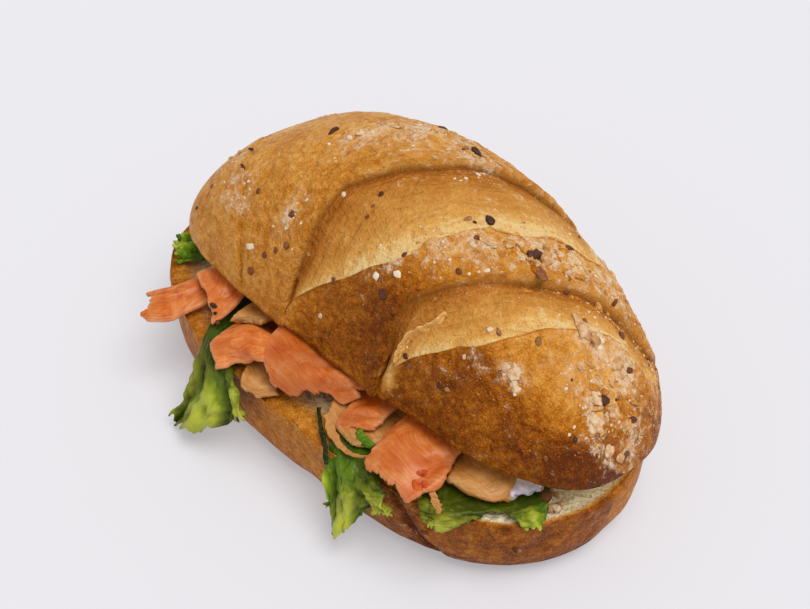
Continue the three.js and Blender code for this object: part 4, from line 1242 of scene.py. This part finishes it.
# %% Flake and ribbons
def ribbon(name, material, slot, path, width, thick, lean, seed, marks=None):
    """A narrow sheet along a path of points: two more rails on either side of it, at half the width
    along the direction lean, give the net. Its edges and its height wander with noise."""
    path, lean = np.array(path, float), np.array(lean, float)
    width = np.broadcast_to(np.asarray(width, float), (len(path),))
    net = np.stack([path + lean * share * width[:, None] for share in (-0.5, 0, 0.5)], 1)
    piece = sheet(
        name, net.transpose(1, 0, 2), (16, 90), thick,
        lambda s, t: (0.16 * (1 + waver(t * 16, seed, 101, 3)),
                      0.16 * (1 + waver(t * 19, seed + 9.0, 102, 3)), 0 * s),
        lambda s, t, flat: 0.5 * waver(s * 2, t * 8 + seed, 103, 3), marks)
    return finish_piece(piece, material, slot)


def flake_marks(s, t, flat, rim):
    """Masks of the flake: evenly baked crust with a paler edge and a little crumb."""
    return {"bake": 0.36 - 0.2 * np.exp(-rim), "bloom": 0 * s, "flour": 0 * s, "crumb": 0.06 + 0 * s}


def leaf_marks(outer, dark, fold, fold_shade_lost=0.0):
    """Masks of a scrap of leaf: even, but for a painted fold shade that may fade from left to right."""
    return lambda s, t, flat, rim: {
        "outer": outer + 0 * s, "dark": dark + 0 * s, "fold": fold - fold_shade_lost * s}


flake_x = np.array([22.4, 22.4, 23.6, 25.6, 28.0, 29.2])
flake_at = np.array([14.0, 20.0, 26.0, 31.0, 36.0, 43.0])
place, normal = on_lid(flake_x, flake_at)
ribbon("torn_flake", lid_bread, "crust_lid", place + normal * 0.7, (2.6, 3.6, 4.6, 5.0, 4.4, 2.0), 0.5,
       normal.mean(0) * 0.8 + [-0.45, 0.1, 0.1], 1, flake_marks)

ribbon("membrane", pale_flesh, "pale_slice",
       [[10.4, -40.2, 32.2], [14.6, -43.6, 31.4], [21.4, -46, 31], [27.4, -45.6, 31.6], [31.6, -43, 33]],
       (5.6, 4.4, 2.6, 2.0, 1.6), 0.5, (0.3, 0.9, 0.35), 2)
ribbon("pale_tail", pale_flesh, "pale_slice",
       [[50.6, -37.6, 32.4], [52.4, -39.8, 31.6], [55, -41.2, 30.4], [57.6, -42.6, 29]],
       (2.0, 2.6, 3.6, 2.0), 0.6, (1.0, 0.5, 0.3), 3)
ribbon("leaf_bit", leaf, "lettuce",
       [[21.4, -38.4, 32.2], [23.6, -40, 32.4], [26.2, -40.4, 32.2], [28.6, -40.2, 31.8]],
       (2.4, 3.8, 4.2, 3.0), 0.8, (0.3, 0.9, 0.35), 5, leaf_marks(0.5, 0.0, 0.7, 1.0))
ribbon("leaf_stem", leaf, "lettuce",
       [[5.6, -40, 30.6], [11.2, -44.4, 29.8], [16, -47.6, 28.4], [19.6, -50.6, 25]],
       (2.0, 2.2, 2.4, 2.0), 0.9, (0.8, 0.5, 0.3), 4, leaf_marks(0.2, 1.0, 1.2))

# %% [markdown]
# ## Crumbs inside
# Beside the cream lie a few beige crumbs and a red-brown bit, and single seeds sit in the wall of
# the bottom half and on the edge of the folded slice. A few red-orange bits of sauce cling to the
# front slice.

# %% Loose bits on the cut face
TOAST = 40
chance = np.random.default_rng(8)
place = np.column_stack(
    [chance.uniform(70, 81, TOAST), chance.uniform(-20, -10, TOAST), np.full(TOAST, 28.2)])
size = chance.uniform(0.8, 2.6, (TOAST, 1)) * np.array([1.0, 0.8, 0.7])
scatter("toast_crumbs", seed_material, None, place, (0, 0, 1.0), size, chance.uniform(0.62, 0.92, TOAST), 21,
        point=0.0, dent=0.5, rings=8, sides=10)

# x, y, z, length, width, height, tone
BITS = np.array([
    (76, -30.2, 17, 2.2, 1.4, 0.8, 0.25),
    (65.8, -25.6, 31.6, 2.4, 1.8, 1.6, 0.86), (53, -43.2, 17, 3.6, 2.6, 1.2, 0.45),
    (75.5, -17.5, 29.2, 5.2, 3.4, 2.4, 0.38), (-44, -37.6, 36.4, 2.4, 1.6, 1.0, 0.06),
    (-41.8, -38.2, 34.6, 3.0, 1.8, 1.0, 0.05), (-40.4, -39.4, 33.0, 2.0, 1.4, 0.9, 0.3)])
scatter("bits", seed_material, None, BITS[:, :3], (0.3, -0.6, 0.74), BITS[:, 3:6], BITS[:, 6], 22,
        rings=10, sides=14)

# %% Red-orange bits of sauce on the front slice
sauce, wire, shader = new_material("red_sauce", Roughness=0.3)
wire.put(shader, Base_Color=wire.ramp(
    wire.noise(wire.place(), 600.0), (0.35, 186, 48, 4), (0.65, 222, 104, 24)))
# x, y, z, length, width, height
DABS = np.array([(48.6, -42.4, 33.6, 3.6, 2.6, 0.9), (50, -40.8, 34, 2.6, 2.2, 0.8),
                 (47.4, -38.8, 35.4, 3.4, 1.4, 0.6)])
scatter("sauce_bits", sauce, None, DABS[:, :3], (0.2, -0.7, 0.7), DABS[:, 3:6],
        np.full(len(DABS), 0.5), 24, point=0.0, dent=0.5, rings=12, sides=16)
